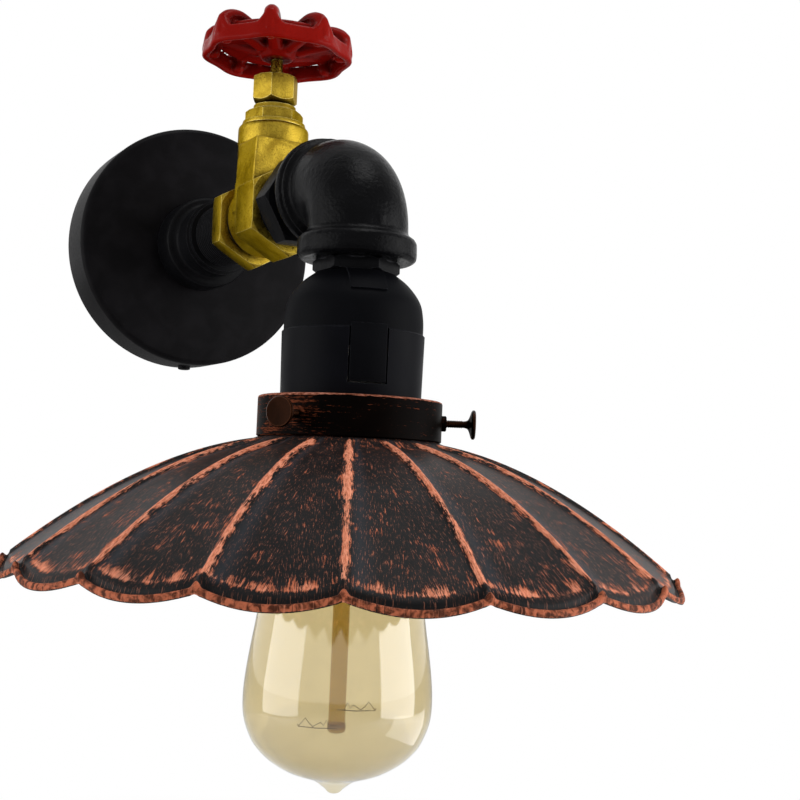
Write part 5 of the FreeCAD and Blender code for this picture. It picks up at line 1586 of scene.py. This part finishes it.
    def build(self) -> bpy.types.Object:
        """Copies the pleat round the lamp and gives the sheet its thickness.

        Returns:
            The shade.
        """
        pleats = [self.sector()]
        for index in range(1, self.ribs):
            select_only(pleats[0])
            bpy.ops.object.duplicate()
            copy = bpy.context.active_object
            turn = Matrix.Rotation(math.radians(index * 360.0 / self.ribs), 4, "Z")
            centre = Matrix.Translation(Vector(LAMP.foot) * MM)
            copy.data.transform(centre @ turn @ centre.inverted())
            layer = copy.data.uv_layers["pleat"]
            for spot in layer.data:
                spot.uv.x += index * 0.037
            pleats.append(copy)
        shade = closed(joined("shade_pleats", pleats), 0.01)
        wall = shade.modifiers.new("sheet", "SOLIDIFY")
        wall.thickness = self.sheet * MM
        wall.offset = -1.0 if self.faces_out(shade) else 1.0
        apply_modifier(shade, wall)
        return shade

    def faces_out(self, shade: bpy.types.Object) -> bool:
        """Whether the sheet's faces look up and out."""
        total = sum(face.normal.z * face.area for face in shade.data.polygons)
        return total > 0

    def dress(self, finishes: FinishSet) -> None:
        """Builds and finishes the shade."""
        seat(self.build(), Body.SHADE, finishes.pleat_copper, "brushed_copper_black", "shade", sharp=50)


@dataclass
class Bulb:
    """Pear-shaped amber bulb with a glass stem, hooks and a zigzag filament."""

    neck_top: float = -92.0
    neck_radius: float = 12.2
    widest: float = 31.0
    widest_height: float = -172.0
    tip_height: float = -203.0
    tip_root: float = -198.5
    wall: float = 0.8
    stem_radius: float = 2.7
    stem_end: float = -183.0
    wire_radius: float = 0.16
    hook_reach: float = 12.0
    hook_turn: float = 61.3
    hook_heights: tuple[float, float] = (-181.6, -175.8)
    upper_line: Outline = ((0.0, 0.0), (0.08, 0.1), (0.33, 0.29), (0.71, 0.54), (0.87, 0.74), (0.965, 0.89),
                           (1.0, 1.0))
    lower_line: Outline = ((0.98, 0.26), (0.90, 0.50), (0.81, 0.64), (0.69, 0.76), (0.51, 0.88),
                           (0.25, 0.985))
    support_line: Outline = ((0.0, 0.0), (0.5, -0.15), (1.0, 0.2), (1.02, 1.0))
    thread_line: Outline = ((0.18, 0.0), (0.27, 2.5), (0.34, 0.6), (0.42, 1.7), (0.62, 0.3), (0.74, 1.5),
                            (0.82, 2.9), (1.0, 0.2))

    def glass(self) -> bpy.types.Object:
        """Models the blown glass with its inside and its drawn tip.

        Returns:
            The glass.
        """
        run = self.neck_top - self.widest_height
        swell = self.widest - self.neck_radius
        bowl = self.widest_height - self.tip_root
        tip, wall = self.tip_height, self.wall
        upper = [(self.neck_radius + swell * a, self.neck_top - run * b) for a, b in self.upper_line]
        lower = [(self.widest * a, self.widest_height - bowl * b) for a, b in self.lower_line]
        outer = smooth_line([*upper, *lower, (3.6, tip + 2.2), (1.9, tip + 0.6), (0.0, tip)], 8)
        inner = smooth_line([*((radius - wall, height) for radius, height in upper),
                             *((radius - wall, height + wall) for radius, height in lower),
                             (0.0, self.tip_root + wall)], 8)
        walls = [turned("outer_wall", LAMP, outer, 160), turned("inner_wall", LAMP, inner, 160)]
        return joined("bulb_glass_blown", walls)

    def shut_neck(self, glass: bpy.types.Object) -> bpy.types.Object:
        """Closes the wall at the top of the neck."""
        select_only(glass)
        bpy.ops.object.mode_set(mode="EDIT")
        bpy.ops.mesh.select_mode(type="EDGE")
        bpy.ops.mesh.select_all(action="DESELECT")
        bpy.ops.mesh.select_non_manifold(extend=False)
        bpy.ops.mesh.bridge_edge_loops()
        bpy.ops.mesh.select_all(action="SELECT")
        bpy.ops.mesh.normals_make_consistent(inside=False)
        bpy.ops.object.mode_set(mode="OBJECT")
        return glass

    def stem(self) -> bpy.types.Object:
        """Models the stem with its flare and button.

        Returns:
            The stem.
        """
        rod, top, end = self.stem_radius, self.neck_top, self.stem_end
        outline = [(0, top)] + smooth_line([
            (11.4, top), (10.6, top - 1.6), (5.6, top - 8.0), (3.4, top - 15.0), (rod, top - 20.0),
            (rod, top - 50.0), (rod, end + 4.2), (rod + 0.2, end + 3.0), (rod + 0.2, end + 1.2),
            (rod - 0.6, end + 0.2), (0, end)], 5)
        return turned("bulb_stem_drawn", LAMP, outline, 64)

    def zigzag(self, name: str, angle: float, height: float, peaks: Outline) -> bpy.types.Object:
        """Models one run of wire out from the stem, up and down over its peaks.

        Args:
            name: Name of the run.
            angle: Angle that it points to.
            height: Height of its base.
            peaks: Its corners, as shares of the reach and heights over the base.

        Returns:
            The run.
        """
        points = [LAMP.at(self.hook_reach * share, height + rise, angle) for share, rise in peaks]
        return wire(name, points, self.wire_radius, False)

    def filament(self, finishes: FinishSet) -> None:
        """Builds and finishes the support wires and the filament that hangs on them."""
        supports, threads = [], []
        for side, height in enumerate(self.hook_heights):
            angle = self.hook_turn + 180.0 * (1 - side)
            supports.append(self.zigzag("support", angle, height, self.support_line))
            threads.append(self.zigzag("thread", angle, height, self.thread_line))
        for name, runs, node in (("filament_support_wires", supports, "filament_hooks"),
                                 ("filament_thread", threads, "filament")):
            seat(joined(name, runs), Body.BULB, finishes.wire, "support_wire", node)

    def dress(self, finishes: FinishSet) -> None:
        """Builds and finishes the bulb."""
        self.filament(finishes)
        seat(self.shut_neck(self.glass()), Body.BULB, finishes.amber, "amber_glass", "bulb_glass", sharp=60)
        seat(self.stem(), Body.BULB, finishes.stem_glass, "stem_glass", "bulb_stem", sharp=60)
        dress(finishes.plain_brass, "bulb_cap")
        dress(finishes.solder, "bulb_contact")
        dress(finishes.black_glass, "bulb_insulator")


@dataclass
class Studio:
    """Floor, white background, soft lamps and the camera at the photograph's angle."""

    floor_height: float = -0.42
    floor_radius: float = 6.0
    floor_fade: tuple[float, float] = (0.40, 0.75)
    target: Place = (0.0, -0.14, -0.07)
    daylight: float = 0.30
    camera_place: Place = (-0.1919, -0.5628, -0.1016)
    yaw: float = 28.70
    pitch: float = 3.76
    roll: float = 2.33
    focal_pixels: float = 1292.0
    image_pixels: float = 800.0
    sensor: float = 36.0

    def world(self) -> None:
        """White where the camera, a reflection or glass looks at it, and plain daylight for the rest."""
        world = bpy.data.worlds.new("white_room")
        bpy.context.scene.world = world
        world.use_nodes = True
        tree = world.node_tree
        tree.nodes.clear()
        path = tree.nodes.new("ShaderNodeLightPath")
        seen = tree.nodes.new("ShaderNodeMath")
        seen.operation = "MAXIMUM"
        through = tree.nodes.new("ShaderNodeMath")
        through.operation = "MAXIMUM"
        tree.links.new(path.outputs["Is Camera Ray"], seen.inputs[0])
        tree.links.new(path.outputs["Is Glossy Ray"], seen.inputs[1])
        tree.links.new(seen.outputs[0], through.inputs[0])
        tree.links.new(path.outputs["Is Transmission Ray"], through.inputs[1])
        strength = tree.nodes.new("ShaderNodeMapRange")
        strength.inputs["To Min"].default_value = self.daylight
        strength.inputs["To Max"].default_value = 1.0
        tree.links.new(through.outputs[0], strength.inputs["Value"])
        background = tree.nodes.new("ShaderNodeBackground")
        background.inputs["Color"].default_value = (1.0, 1.0, 1.0, 1.0)
        tree.links.new(strength.outputs["Result"], background.inputs["Strength"])
        output = tree.nodes.new("ShaderNodeOutputWorld")
        tree.links.new(background.outputs[0], output.inputs["Surface"])

    def floor(self) -> None:
        """Pale floor that keeps the lamp's shadow, fades to white far from it and is clear from below."""
        floor = started("studio_floor", bpy.ops.mesh.primitive_circle_add, vertices=96,
                        radius=self.floor_radius, fill_type="NGON", location=(0, -0.15, self.floor_height))
        sheet = NodeSheet("pale_floor")
        spots = sheet.add("ShaderNodeVectorMath", operation="LENGTH")
        sheet.feed(spots.inputs[0], sheet.stretched((1.0, 1.0, 0.0)))
        far = sheet.fit(spots.outputs["Value"], *self.floor_fade)
        path = sheet.add("ShaderNodeLightPath")
        seen = sheet.calc("MAXIMUM", path.outputs["Is Camera Ray"], path.outputs["Is Transmission Ray"])
        plain = sheet.add("ShaderNodeBsdfDiffuse")
        grain = sheet.noise(40.0, 3.0, 0.5)
        sheet.feed(plain.inputs["Color"], sheet.blend(grain, (0.84, 0.84, 0.84), (0.88, 0.88, 0.88)))
        white = sheet.add("ShaderNodeEmission")
        white.inputs["Color"].default_value = (1.0, 1.0, 1.0, 1.0)
        mix = sheet.add("ShaderNodeMixShader")
        sheet.feed(mix.inputs[0], sheet.calc("MULTIPLY", far, seen))
        sheet.tree.links.new(plain.outputs[0], mix.inputs[1])
        sheet.tree.links.new(white.outputs[0], mix.inputs[2])
        clear = sheet.add("ShaderNodeBsdfTransparent")
        under = sheet.add("ShaderNodeMixShader")
        sheet.feed(under.inputs[0], sheet.add("ShaderNodeNewGeometry").outputs["Backfacing"])
        sheet.tree.links.new(mix.outputs[0], under.inputs[1])
        sheet.tree.links.new(clear.outputs[0], under.inputs[2])
        output = sheet.add("ShaderNodeOutputMaterial")
        sheet.tree.links.new(under.outputs[0], output.inputs["Surface"])
        floor.data.materials.append(sheet.material)

    def lamp(self, name: str, place: Place, size: tuple[float, float], power: float) -> bpy.types.Object:
        """Adds a soft rectangular lamp that faces the object.

        Args:
            name: Name of the lamp.
            place: Where it stands, in metres.
            size: Its width and height.
            power: Its power in watts.

        Returns:
            The lamp.
        """
        light = bpy.data.lights.new(name, "AREA")
        light.shape = "RECTANGLE"
        light.size, light.size_y = size
        light.energy = power
        lamp = bpy.data.objects.new(name, light)
        bpy.context.scene.collection.objects.link(lamp)
        lamp.location = place
        lamp.visible_camera = False
        lamp.visible_transmission = False
        lamp.rotation_euler = (Vector(self.target) - Vector(place)).to_track_quat("-Z", "Y").to_euler()
        return lamp

    def spare_floor(self, lamp: bpy.types.Object) -> None:
        """Lets a lamp that stands close to the floor light the object alone."""
        lit = bpy.data.collections.new(lamp.name + "_lights")
        for piece in bpy.context.scene.objects:
            if piece.type == "MESH" and piece.name != "studio_floor":
                lit.objects.link(piece)
        lamp.light_linking.receiver_collection = lit

    def camera(self) -> None:
        """Sets one camera between the two that the photograph's parts were taken with."""
        yaw, pitch, roll = (math.radians(angle) for angle in (self.yaw, self.pitch, self.roll))
        ahead = Vector((math.sin(yaw) * math.cos(pitch), math.cos(yaw) * math.cos(pitch), math.sin(pitch)))
        level = Vector((math.cos(yaw), -math.sin(yaw), 0.0))
        upright = level.cross(ahead)
        right = level * math.cos(roll) + upright * math.sin(roll)
        up = upright * math.cos(roll) - level * math.sin(roll)
        data = bpy.data.cameras.new("photograph")
        data.sensor_width = self.sensor
        data.lens = self.focal_pixels * self.sensor / self.image_pixels
        data.clip_start = 0.01
        camera = bpy.data.objects.new("photograph", data)
        bpy.context.scene.collection.objects.link(camera)
        camera.matrix_world = Matrix.Translation(Vector(self.camera_place)) @ Matrix(
            (right, up, -ahead)).transposed().to_4x4()
        bpy.context.scene.camera = camera

    def build(self) -> None:
        """Sets up the whole studio."""
        self.world()
        self.floor()
        self.lamp("right_window", (0.79, -0.79, 0.02), (1.0, 0.86), 10.5)
        self.lamp("left_window", (-0.935, -0.013, 0.0), (0.97, 0.80), 7.0)
        self.lamp("overhead", (0.1, -0.5, 1.3), (0.8, 0.6), 8.0)
        self.spare_floor(self.lamp("low_window", (0.377, -0.279, -0.36), (0.50, 0.24), 0.60))
        self.camera()
        bpy.context.scene.view_settings.view_transform = "Standard"


def main() -> None:
    """Builds the lamp piece by piece, then the studio."""
    logging.basicConfig(level=logging.INFO, format="%(message)s")
    finishes = FinishSet()
    WallCup().dress(finishes)
    PipeArm().dress(finishes)
    Valve().dress(finishes)
    Handwheel().dress(finishes)
    Elbow().dress(finishes)
    Lampholder().dress(finishes)
    Gallery().dress(finishes)
    PleatedShade().dress(finishes)
    Bulb().dress(finishes)
    Studio().build()


if __name__ == "__main__":
    main()
